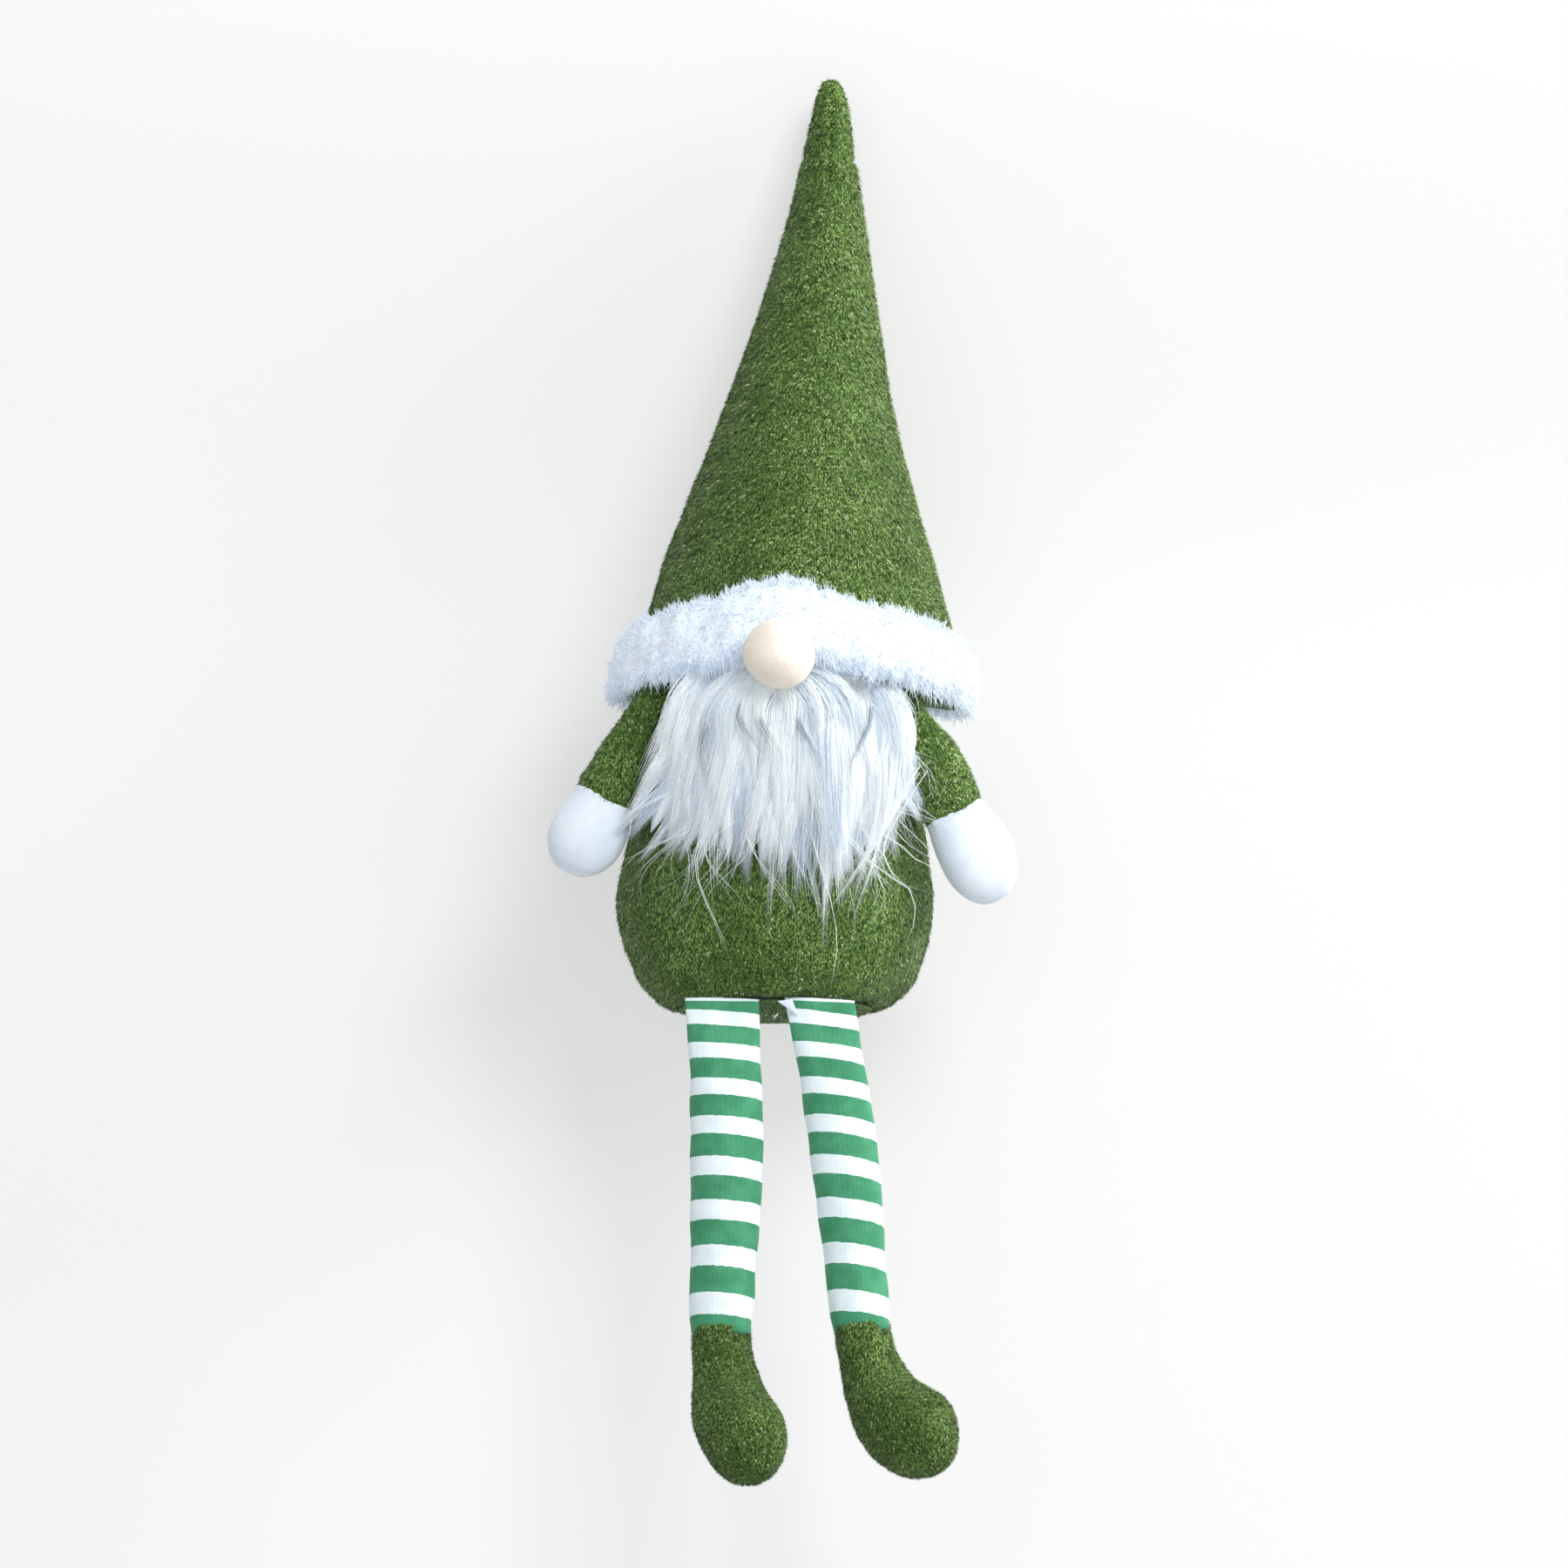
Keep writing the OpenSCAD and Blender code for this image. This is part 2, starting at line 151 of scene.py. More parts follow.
class Finish:
    """One procedural material."""

    def __init__(self, name, **constants):
        self.material = bpy.data.materials.new(name)
        self.material.use_nodes = True
        self.tree = self.material.node_tree
        self.shader = self.tree.nodes["Principled BSDF"]
        for socket, value in constants.items():
            self.shader.inputs[socket.replace("_", " ")].default_value = value

    def node(self, kind, settings=None, *values, **named):
        made = self.tree.nodes.new(kind)
        for key, setting in (settings or {}).items():
            setattr(made, key, setting)
        for socket, value in [*enumerate(values), *named.items()]:
            if isinstance(socket, str):
                socket = socket.replace("_", " ")
            self.feed(made.inputs[socket], value)
        return Made(self, made)

    def feed(self, socket, value):
        if isinstance(value, Value):
            self.tree.links.new(value.socket, socket)
        elif value is not None:
            socket.default_value = value

    def place(self, stretch=(1, 1, 1), turn=(0, 0, 0)):
        """Object coordinates, stretched and turned."""
        coordinates = self.node("ShaderNodeTexCoord").value("Object")
        return self.node("ShaderNodeMapping", None, coordinates, None, turn, stretch).value(0)

    def noise(self, size, stretch=(1, 1, 1), detail=2.0, turn=(0, 0, 0), rough=0.5):
        """Noise whose grains are about size millimetres across."""
        node = self.node("ShaderNodeTexNoise", None, Vector=self.place(stretch, turn),
                         Scale=1 / (size * MM), Detail=detail, Roughness=rough)
        return node.value(0)

    def streaks(self, across, along):
        """Noise drawn out along a strand, from the piece's own around and along values."""
        place = self.node("ShaderNodeCombineXYZ", None, self.attribute("around") * across,
                          self.attribute("along") * along, self.attribute("lock") * 7.3).value(0)
        node = self.node("ShaderNodeTexNoise", None, Vector=place, Scale=1.0, Detail=3.0, Roughness=0.6)
        return node.value(0)

    def attribute(self, name):
        return self.node("ShaderNodeAttribute", {"attribute_name": name}).value("Fac")

    def mix(self, factor, first, second):
        node = self.node("ShaderNodeMix", {"data_type": "RGBA"})
        for socket, value in ((0, factor), (6, first), (7, second)):
            if isinstance(value, tuple):
                value = (*value, 1)
            self.feed(node.node.inputs[socket], value)
        return node.value(2)

    def colour(self, value):
        if isinstance(value, tuple):
            value = (*value, 1)
        self.feed(self.shader.inputs["Base Color"], value)

    def rough(self, value):
        self.feed(self.shader.inputs["Roughness"], value)

    def bump(self, height, depth, strength=1.0):
        """Bumps depth millimetres deep where height goes from 0 to 1."""
        node = self.node("ShaderNodeBump", None, Strength=strength, Distance=depth * MM, Height=height)
        self.feed(self.shader.inputs["Normal"], node.value(0))


def tone(red, green, blue):
    """A display colour of 0 to 255 in the linear values that shaders use."""
    linear = []
    for channel in (red, green, blue):
        share = channel / 255
        linear.append(share / 12.92 if share <= 0.04045 else ((share + 0.055) / 1.055) ** 2.4)
    return tuple(linear)


# ---------------------------------------------------------------- finishes

PLUSH_DEEP = tone(40, 62, 22)
PLUSH_MID = tone(88, 118, 56)
PLUSH_LIGHT = tone(146, 176, 100)
PLUSH_FLECK = tone(196, 218, 152)


def plush_cloth():
    """The short pile's ground: olive green, clouded where the nap is brushed, with light flecks."""
    finish = Finish("green_plush", Sheen_Weight=0.12, Sheen_Roughness=0.4, Specular_IOR_Level=0.2)
    clouds = finish.noise(22, detail=3).between(0.36, 0.66)
    strokes = finish.noise(0.5, stretch=(1, 1, 0.42), turn=(0.35, 0.3, 0), detail=2)
    base = finish.mix(strokes.between(0.34, 0.62), PLUSH_DEEP, PLUSH_MID)
    base = finish.mix(clouds * strokes.between(0.45, 0.7) * 0.7, base, PLUSH_LIGHT)
    base = finish.mix(strokes.between(0.66, 0.74) * 0.6, base, PLUSH_FLECK)
    finish.colour(base)
    finish.rough(0.98 - strokes * 0.18)
    finish.bump(strokes, 0.5)
    return finish.material


def plain_fibre(name, colour, roughness=0.8, sheen=0.3, glow=0.0):
    """One tone of loose fibre; a pile mixes several. glow is painted light: an emission that brightens the
    fibres against their own shade.
    """
    finish = Finish(name, Sheen_Weight=sheen, Sheen_Roughness=0.4, Specular_IOR_Level=0.25,
                    Roughness=roughness, Emission_Color=(*colour, 1), Emission_Strength=glow)
    finish.colour(colour)
    return finish.material


def white_fleece():
    finish = Finish("white_fleece", Sheen_Weight=0.4, Sheen_Roughness=0.5, Specular_IOR_Level=0.2)
    grain = finish.noise(0.35, detail=3)
    cloud = finish.noise(14)
    base = finish.mix(cloud.between(0.3, 0.7), tone(222, 233, 246), tone(236, 244, 252))
    finish.colour(finish.mix(grain.between(0.3, 0.5), tone(214, 226, 241), base))
    finish.rough(0.92 - grain * 0.12)
    finish.bump(grain, 0.18)
    return finish.material


def fur_ground():
    # The emission is painted light: it brightens the white wool against its own shade.
    finish = Finish("fur_ground", Sheen_Weight=0.3, Sheen_Roughness=0.5, Specular_IOR_Level=0.15,
                    Emission_Color=(0.9, 0.95, 1, 1), Emission_Strength=0.11)
    lumps = finish.noise(1.6, detail=4)
    finish.colour(finish.mix(lumps.between(0.3, 0.6), tone(214, 226, 240), tone(230, 239, 249)))
    finish.rough(0.95 - lumps * 0.1)
    finish.bump(lumps, 0.6)
    return finish.material


def beard_ground():
    """Locks of hair: fine streaks that run along each lock."""
    # The emission is painted light: it brightens the white hair against its own shade.
    finish = Finish("beard_ground", Specular_IOR_Level=0.2, Sheen_Weight=0.2, Sheen_Roughness=0.4,
                    Emission_Color=(0.9, 0.95, 1, 1), Emission_Strength=0.08)
    streak = finish.streaks(26, 1.4)
    broad = finish.streaks(7, 0.8)
    base = finish.mix(streak.between(0.3, 0.62), tone(196, 209, 222), tone(246, 250, 253))
    finish.colour(finish.mix(broad.between(0.36, 0.5), tone(186, 200, 212), base))
    finish.rough(0.8 - streak * 0.2)
    finish.bump(streak, 0.5)
    return finish.material


def striped_knit():
    """Green and white bands that follow the tube, on fine jersey ribs."""
    finish = Finish("striped_knit", Sheen_Weight=0.25, Sheen_Roughness=0.35, Specular_IOR_Level=0.3)
    course = finish.attribute("stripe") + (finish.noise(2.5) - 0.5) * 0.05
    white = course.part().below(STRIPE_WHITE).math("MAXIMUM", finish.attribute("below_hem").below(HEM_EDGE))
    ribs = (finish.attribute("around") * (math.pi * RIBS)).sine() * 0.5 + 0.5
    cloud = finish.noise(6, detail=3)
    grain = finish.noise(0.5, detail=2)
    green = finish.mix(cloud.between(0.35, 0.65), tone(62, 142, 103), tone(76, 156, 117))
    # Darker green in the rib troughs is painted shade; the darker grain flecks are the yarn's own.
    green = finish.mix((1 - ribs) * 0.12 + grain.between(0.55, 0.7) * 0.2, green, tone(40, 104, 70))
    pale = finish.mix(cloud.between(0.3, 0.7), tone(224, 240, 246), tone(238, 248, 252))
    finish.colour(finish.mix(white, green, pale))
    finish.rough(0.72 + cloud * 0.15)
    finish.bump(ribs * 0.4 + grain, 0.07)
    return finish.material


def nose_felt():
    finish = Finish("nose_felt", Sheen_Weight=0.45, Sheen_Roughness=0.45, Specular_IOR_Level=0.2)
    blush = finish.noise(9, detail=2)
    fluff = finish.noise(0.45, detail=3)
    base = finish.mix(blush.between(0.3, 0.7), tone(250, 240, 226), tone(254, 248, 238))
    finish.colour(finish.mix(fluff.between(0.32, 0.5), tone(242, 228, 208), base))
    finish.rough(0.95 - fluff * 0.12)
    finish.bump(fluff, 0.2)
    return finish.material


def fibre_fill():
    finish = Finish("fibre_fill", Specular_IOR_Level=0.1, Sheen_Weight=0.2)
    wisps = finish.noise(2.5, detail=5, rough=0.65)
    finish.colour(finish.mix(wisps.between(0.3, 0.7), tone(214, 214, 212), tone(250, 250, 248)))
    finish.rough(0.9 + wisps * 0.08)
    finish.bump(wisps, 1.2)
    return finish.material


def backing_cloth():
    finish = Finish("backing_cloth", Specular_IOR_Level=0.2)
    weave = finish.noise(0.8, stretch=(1, 1, 0.5), detail=2)
    finish.colour(finish.mix(weave.between(0.35, 0.6), tone(196, 196, 190), tone(232, 232, 226)))
    finish.rough(0.85 + weave * 0.1)
    finish.bump(weave, 0.25)
    return finish.material


def pellet_plastic():
    finish = Finish("pellet_plastic", Specular_IOR_Level=0.4)
    pellets = finish.node("ShaderNodeTexVoronoi", None, Vector=finish.place(), Scale=1 / (PELLET_SIZE * MM))
    cells = pellets.value("Distance")
    # Darker grey between the pellets is painted shade.
    finish.colour(finish.mix(cells.between(0.1, 0.6), tone(226, 226, 220), tone(140, 140, 136)))
    finish.rough(0.4 + cells * 0.3)
    finish.bump(1 - cells, 0.9)
    return finish.material


def sewing_thread(name, colour, dark):
    finish = Finish(name, Specular_IOR_Level=0.4)
    twist = finish.noise(0.3, stretch=(1, 1, 0.4), detail=1)
    finish.colour(finish.mix(twist, dark, colour))
    finish.rough(0.6 + twist * 0.2)
    finish.bump(twist, 0.1)
    return finish.material


# The white share of each pair of stripes, the white hem's depth, and the jersey's ribs round half a leg
STRIPE_WHITE = 0.45
HEM_EDGE = 0.8
RIBS = 46
PELLET_SIZE = 2.4
PLUSH = plush_cloth()
NAP_TONES = [
    plain_fibre("nap_deep", tone(26, 46, 10), sheen=0.06),
    plain_fibre("nap_mid", tone(78, 112, 42), sheen=0.08),
    plain_fibre("nap_green", tone(124, 160, 76), sheen=0.1),
    plain_fibre("nap_light", tone(186, 216, 134), sheen=0.1),
    plain_fibre("nap_fleck", tone(238, 248, 200), sheen=0.1),
]
FELT_TONES = [
    plain_fibre("felt_cream", tone(246, 232, 214)),
    plain_fibre("felt_pale", tone(254, 248, 238)),
]
FLEECE = white_fleece()
FUR = fur_ground()
BEARD = beard_ground()
# Tones of the band's wool; the glow on each is painted light.
FUR_TONES = [
    plain_fibre("fur_white", tone(224, 234, 245), 0.75, glow=0.21),
    plain_fibre("fur_pale", tone(217, 228, 242), 0.75, glow=0.2),
    plain_fibre("fur_cool", tone(204, 216, 233), 0.75, glow=0.17),
]
# Tones of the beard's hair: the glow on the pale ones is painted light, and the cool, grey and shade tones
# are painted shade, used most in the lower layers and the partings.
HAIR_TONES = [
    plain_fibre("hair_white", tone(248, 253, 255), 0.5, glow=0.13),
    plain_fibre("hair_pale", tone(234, 244, 254), 0.5, glow=0.11),
    plain_fibre("hair_cool", tone(208, 223, 240), 0.5, glow=0.07),
    plain_fibre("hair_grey_shade", tone(158, 172, 174), 0.6),
    plain_fibre("hair_shade", tone(104, 116, 108), 0.7),
]
KNIT = striped_knit()
FELT = nose_felt()
FILL = fibre_fill()
BACKING = backing_cloth()
PELLETS = pellet_plastic()
WHITE_THREAD = sewing_thread("white_thread", tone(245, 246, 246), tone(190, 192, 194))

# ---------------------------------------------------------------- mesh tools


def link(mesh, name, *materials):
    piece = bpy.data.objects.new(name, mesh)
    bpy.context.scene.collection.objects.link(piece)
    for material in materials:
        mesh.materials.append(material)
    mesh.polygons.foreach_set("use_smooth", [True] * len(mesh.polygons))
    return piece


def points_of(mesh):
    """Vertex places in millimetres."""
    places = np.empty(len(mesh.vertices) * 3)
    mesh.vertices.foreach_get("co", places)
    return places.reshape(-1, 3) / MM


def set_points(mesh, places):
    mesh.vertices.foreach_set("co", (places * MM).ravel())
    mesh.update()


def form_from(bm):
    """Places and faces, each face from its first point on and all in order, so that each run draws the
    same faces at random."""
    bm.verts.index_update()
    places = np.array([vert.co[:] for vert in bm.verts])
    faces = []
    for face in bm.faces:
        ring = [vert.index for vert in face.verts]
        first = ring.index(min(ring))
        faces.append(ring[first:] + ring[:first])
    bm.free()
    return places, sorted(faces)


def mesh_from(bm, name):
    places, faces = form_from(bm)
    mesh = bpy.data.meshes.new(name)
    mesh.from_pydata(places.tolist(), [], faces)
    return mesh


def unit_tube(sides, rows):
    """A closed tube of radius 1 and one unit a row, made by extruding a circle."""
    bm = bmesh.new()
    ring = bmesh.ops.create_circle(bm, segments=sides, radius=1.0)["verts"]
    edges = list(bm.edges)
    for row in range(rows):
        out = bmesh.ops.extrude_edge_only(bm, edges=edges)["geom"]
        ring = {item for item in out if isinstance(item, bmesh.types.BMVert)}
        bmesh.ops.translate(bm, verts=list(ring), vec=(0, 0, 1))
        edges = [item for item in out if isinstance(item, bmesh.types.BMEdge)]
    open_edges = [edge for edge in bm.edges if edge.is_boundary]
    caps = bmesh.ops.holes_fill(bm, edges=open_edges, sides=0)["faces"]
    bmesh.ops.poke(bm, faces=caps)
    bmesh.ops.recalc_face_normals(bm, faces=bm.faces)
    return bm


def lofted(name, sides, levels, shape, *materials, attributes=None):
    """A closed skin: shape(angle, level) gives the point at an angle round the piece and a level along it,
    for arrays of both; a cap's middle is the mean of its ring."""
    levels = np.asarray(levels, float)
    mesh = mesh_from(unit_tube(sides, len(levels) - 1), name)
    tube = points_of(mesh) * MM
    angle = np.arctan2(tube[:, 1], tube[:, 0])
    level = levels[np.rint(tube[:, 2]).astype(int)]
    rim = np.hypot(tube[:, 0], tube[:, 1]) > 0.5
    places = shape(angle, level)
    for middle in np.flatnonzero(~rim):
        places[middle] = places[rim & (level == level[middle])].mean(axis=0)
    set_points(mesh, places)
    for key, rule in (attributes or {}).items():
        layer = mesh.attributes.new(key, "FLOAT", "POINT")
        layer.data.foreach_set("value", rule(angle, level).astype(np.float32))
    return outward(link(mesh, name, *materials))


def outward(piece):
    """Turns a closed skin's faces outwards."""
    bm = bmesh.new()
    bm.from_mesh(piece.data)
    bmesh.ops.recalc_face_normals(bm, faces=bm.faces)
    bm.to_mesh(piece.data)
    bm.free()
    return piece


def smooth_curve(stations, place):
    """Smooth values at a place between stations, whose first column is the place."""
    stations = np.asarray(stations, float)
    at = stations[:, 0]
    slope = np.gradient(stations, at, axis=0)
    place = np.clip(place, at[0], at[-1])
    i = np.clip(np.searchsorted(at, place, side="right") - 1, 0, len(at) - 2)
    gap = (at[i + 1] - at[i])[..., None]
    t = (place - at[i])[..., None] / gap
    first, last = stations[i], stations[i + 1]
    start, end = slope[i] * gap, slope[i + 1] * gap
    value = ((2 * t ** 3 - 3 * t ** 2 + 1) * first + (t ** 3 - 2 * t ** 2 + t) * start
             + (3 * t ** 2 - 2 * t ** 3) * last + (t ** 3 - t ** 2) * end)
    return np.moveaxis(value[..., 1:], -1, 0)


def oval(angle, half_w, half_d, power):
    """Point on an oval that is an ellipse at power 2 and squarer above it."""
    c, s = np.cos(angle), np.sin(angle)
    share = 2 / power
    return half_w * np.sign(c) * np.abs(c) ** share, half_d * np.sign(s) * np.abs(s) ** share


def ripple(places, size, seed, waves=8):
    """Smooth lumps of about -1 to 1 and about size millimetres across."""
    random = np.random.default_rng(seed)
    total = np.zeros(len(places))
    for _ in range(waves):
        way = random.normal(size=3)
        way *= random.uniform(0.7, 1.3) / np.linalg.norm(way)
        total += np.sin(places @ way * (math.pi / size) + random.uniform(0, 2 * math.pi))
    return total / math.sqrt(waves)


def dent(distance, width):
    """1 on a line, falling smoothly to 0 about width millimetres away."""
    return np.exp(-(distance / width) ** 2)


def normals_of(mesh):
    normals = np.empty(len(mesh.vertices) * 3, np.float32)
    mesh.vertex_normals.foreach_get("vector", normals)
    return normals.reshape(-1, 3).astype(float)


def press(piece, amount):
    """Moves a skin's points along their normals; amount is a rule of the places, in millimetres."""
    places = points_of(piece.data)
    moved = places + normals_of(piece.data) * amount(places)[:, None]
    set_points(piece.data, moved)
    return piece


def stuff(piece, held, pressure=4.0, cap=2.0, frames=16):
    """Swells a skin from inside as stuffing does. held is a rule that is 1 where a seam holds the cloth;
    no point moves more than cap millimetres."""
    rest = points_of(piece.data)
    group = piece.vertex_groups.new(name="held")
    hold = held(rest)
    for index in np.flatnonzero(hold > 0.02):
        group.add([int(index)], float(hold[index]), "REPLACE")
    modifier = piece.modifiers.new("cloth", "CLOTH")
    settings = modifier.settings
    settings.quality = 6
    settings.mass = 0.3
    settings.tension_stiffness = settings.compression_stiffness = 12
    settings.shear_stiffness = 6
    settings.bending_stiffness = 0.6
    settings.use_pressure = True
    settings.uniform_pressure_force = pressure
    settings.vertex_group_mass = "held"
    settings.effector_weights.gravity = 0
    modifier.collision_settings.use_collision = False
    scene = bpy.context.scene
    modifier.point_cache.frame_start = 1
    modifier.point_cache.frame_end = frames
    for frame_number in range(1, frames + 1):
        scene.frame_set(frame_number)
    graph = bpy.context.evaluated_depsgraph_get()
    swollen = points_of(piece.evaluated_get(graph).data)
    piece.modifiers.clear()
    piece.vertex_groups.clear()
    scene.frame_set(1)
    move = swollen - rest
    length = np.linalg.norm(move, axis=1, keepdims=True)
    move *= cap * np.tanh(length / cap) / np.maximum(length, 1e-9)
    set_points(piece.data, rest + move)
    return piece


def copied(piece, name, turn):
    """A copy of a piece moved by a transform in metres."""
    twin = piece.copy()
    twin.data = piece.data.copy()
    twin.name = twin.data.name = name
    bpy.context.scene.collection.objects.link(twin)
    twin.data.transform(turn)
    return twin


def filling(cover, name, depth=1.4):
    """The stuffing inside a cover: its own skin, a cloth's thickness further in."""
    fill = copied(cover, name, Matrix.Identity(4))
    fill.data.materials.clear()
    fill.data.materials.append(FILL)
    press(fill, lambda p: np.full(len(p), -depth))
    return fill


def moved(places, turn):
    """Places in millimetres moved by a transform in metres."""
    matrix = np.array(turn)
    return places @ matrix[:3, :3].T + matrix[:3, 3] / MM


# ---------------------------------------------------------------- fibres


def surface_points(piece, count, random, density=None):
    """Random places on a skin, with their normals."""
    mesh = piece.data
    mesh.calc_loop_triangles()
    corners_of = np.empty(len(mesh.loop_triangles) * 3, np.int32)
    mesh.loop_triangles.foreach_get("vertices", corners_of)
    corners_of = corners_of.reshape(-1, 3)
    places, normals = points_of(mesh), normals_of(mesh)
    a, b, c = (places[corners_of[:, k]] for k in range(3))
    area = np.linalg.norm(np.cross(b - a, c - a), axis=1)
    if density is not None:
        area = area * np.clip(density((a + b + c) / 3), 0, None)
    pick = random.choice(len(area), count, p=area / area.sum())
    u, v = random.random(count), random.random(count)
    flip = u + v > 1
    u[flip], v[flip] = 1 - u[flip], 1 - v[flip]
    share = np.stack([1 - u - v, u, v], axis=1)[..., None]
    at = (places[corners_of[pick]] * share).sum(axis=1)
    normal = (normals[corners_of[pick]] * share).sum(axis=1)
    normal /= np.linalg.norm(normal, axis=1, keepdims=True)
    return at, normal


def unit(vectors):
    return vectors / np.maximum(np.linalg.norm(vectors, axis=-1, keepdims=True), 1e-9)


def blade_form():
    """A closed blade: a three-sided spike one unit long."""
    bm = bmesh.new()
    bmesh.ops.create_cone(bm, cap_ends=True, cap_tris=False, segments=3, radius1=0.5, radius2=0, depth=1)
    bmesh.ops.remove_doubles(bm, verts=bm.verts, dist=1e-4)
    bmesh.ops.triangulate(bm, faces=bm.faces)
    bmesh.ops.recalc_face_normals(bm, faces=bm.faces)
    places, faces = form_from(bm)
    return places + (0, 0, 0.5), np.array(faces)


def strand_form(rows, sides=3):
    """A closed strand with a ring at each row."""
    bm = unit_tube(sides, rows)
    bmesh.ops.triangulate(bm, faces=bm.faces)
    places, faces = form_from(bm)
    return places, np.array(faces)


def fibre_mesh(name, places, faces, tones, tone_of):
    """One mesh of many like fibres: places is fibres x points x 3, faces are of one fibre."""
    fibres, points = places.shape[:2]
    all_faces = (faces[None] + (np.arange(fibres) * points)[:, None, None]).reshape(-1, 3)
    mesh = bpy.data.meshes.new(name)
    mesh.from_pydata((places.reshape(-1, 3) * MM).tolist(), [], all_faces.tolist())
    piece = link(mesh, name, *tones)
    mesh.polygons.foreach_set("material_index", np.repeat(tone_of, len(faces)).astype(np.int32))
    return piece


BLADE = blade_form()


def clumped_tones(root, share, size, seed, random):
    """Picks a tone for each fibre, often the same for near ones. share is how many get each."""
    score = ripple(root, size, seed) + random.normal(0, 0.4, len(root))
    steps = np.quantile(score, np.cumsum(share)[:-1] / np.sum(share))
    return np.searchsorted(steps, score)


def nap(name, skin, count, length, width, lean, seed, comb, tone_share,
        density=None, tones=None, clump=1.1):
    """Short closed blades over a skin, combed one way. length and width are in millimetres,
    lean is 0 for upright and 1 for flat, comb is a rule of the places that gives the pile's direction."""
    random = np.random.default_rng(seed)
    root, normal = surface_points(skin, count, random, density)
    way = comb(root)
    way = unit(way - normal * (way * normal).sum(axis=1, keepdims=True))
    across = np.cross(normal, way)
    swirl = ripple(root, 9, seed + 1) * 0.5 + random.normal(0, 0.35, count)
    way = way * np.cos(swirl)[:, None] + across * np.sin(swirl)[:, None]
    flat = np.clip(random.normal(lean, 0.12, count), 0.1, 0.97)[:, None]
    axis = unit(way * flat + normal * np.sqrt(1 - flat ** 2))
    side = unit(np.cross(axis, normal))
    third = np.cross(axis, side)
    long = length * random.uniform(0.65, 1.25, count)[:, None, None]
    wide = width * random.uniform(0.7, 1.3, count)[:, None, None]
    form, faces = BLADE
    places = (root - normal * 0.15)[:, None] + (
        form[None, :, 2:3] * long * axis[:, None]
        + form[None, :, 0:1] * wide * side[:, None]
        + form[None, :, 1:2] * wide * 0.6 * third[:, None])
    tone_of = clumped_tones(root, tone_share, clump, seed + 2, random)
    return fibre_mesh(name, places, faces, tones or NAP_TONES, tone_of)


def thin_tip(share):
    return (1 - share ** 1.6) * 0.92 + 0.08


def lock_shape(share):
    """A lock: narrow at the root, full below it, and pointed."""
    return (0.5 + 0.5 * np.sin(np.clip(share / 0.55, 0, 1) * math.pi / 2)) * (1 - share ** 2.4) + 0.03


def strands(name, lines, thickness, tones, tone_of, shape=thin_tip, sides=3, flat=1.0):
    """Closed tapering strands along lines, which are fibres x points x 3 in millimetres."""
    fibres, points = lines.shape[:2]
    form, faces = strand_form(points - 1, sides)
    row = np.rint(form[:, 2]).astype(int)
    along = unit(np.gradient(lines, axis=1))
    side = unit(np.cross(along, np.array([0.05, 0.99, 0.1])))
    third = np.cross(along, side)
    radius = shape(np.arange(points) / (points - 1))
    half = 0.5 * np.broadcast_to(thickness, (fibres,))[:, None, None] * radius[None, row, None]
    ring = form[None, :, 0:1] * side[:, row] + form[None, :, 1:2] * third[:, row] * flat
    places = lines[:, row] + half * ring
    piece = fibre_mesh(name, places, faces, tones, tone_of)
    if sides > 3:
        around = np.abs(np.arctan2(form[:, 1], form[:, 0])) / math.pi
        keep_values(piece, around=np.tile(around, fibres), along=np.tile(form[:, 2] / (points - 1), fibres),
                    lock=np.repeat(np.arange(fibres), len(form)))
    return piece


def keep_values(piece, **values):
    """Stores a number for each vertex under a name that a finish can read."""
    for name, value in values.items():
        layer = piece.data.attributes.new(name, "FLOAT", "POINT")
        layer.data.foreach_set("value", np.asarray(value, np.float32))


def one_way(way):
    """A comb that lays the whole pile in one direction."""
    return lambda places: np.broadcast_to(way, places.shape)


DOWNWARDS = one_way([0.0, 0.0, -1.0])


# ---------------------------------------------------------------- body

BODY_LOW, BODY_HIGH = corners("body_front_panel", "body_back_panel", "base_panel")
BODY_HALF_W = (BODY_HIGH[0] - BODY_LOW[0]) / 2
BODY_HALF_D = (BODY_HIGH[1] - BODY_LOW[1]) / 2
SEAM_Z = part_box("base_panel")[1].z / MM
BODY_TOP = 138
# Above this height the body is under the hat: its cloth is held, and just higher it has no pile
BODY_HELD_Z = 126
BODY_PILE_Z = 128
# Height, middle x, middle y, half width and half depth as shares of the widest, squareness
BODY = [
    (0, 0, 0, 0.50, 0.56, 2.2),
    (SEAM_Z, 0, 0, 0.62, 0.71, 2.3),
    (8, 0, 0, 0.80, 0.86, 2.3),
    (20, 0, 0, 0.93, 0.96, 2.2),
    (38, 0, 0, 1.00, 1.00, 2.1),
    (54, 0, 0, 0.965, 0.985, 2.1),
    (72, 0.6, 0, 0.905, 0.95, 2.1),
    (92, 1.6, 0, 0.83, 0.905, 2.1),
    (112, 2.6, 0, 0.765, 0.86, 2.1),
    (BODY_TOP, 3.4, 0, 0.73, 0.82, 2.1),
]


def body_point(angle, level):
    mid_x, mid_y, half_w, half_d, power = smooth_curve(BODY, level)
    x, y = oval(angle, BODY_HALF_W * half_w, BODY_HALF_D * half_d, power)
    return np.stack([mid_x + x, mid_y + y, level], axis=1)


def body_front(x, z):
    """The y of the body's front at a place across and a height; the side's y past its edge."""
    mid_x, mid_y, half_w, half_d, power = smooth_curve(BODY, z)
    share = np.clip(np.abs(x - mid_x) / (BODY_HALF_W * half_w), 0, 1)
    return mid_y - BODY_HALF_D * half_d * (1 - share ** power) ** (1 / power)


def body_seams(places):
    """1 on the side seams and the base seam."""
    side = dent(places[:, 1], 1.3)
    base = dent(places[:, 2] - SEAM_Z, 1.2)
    return np.maximum(side, base)


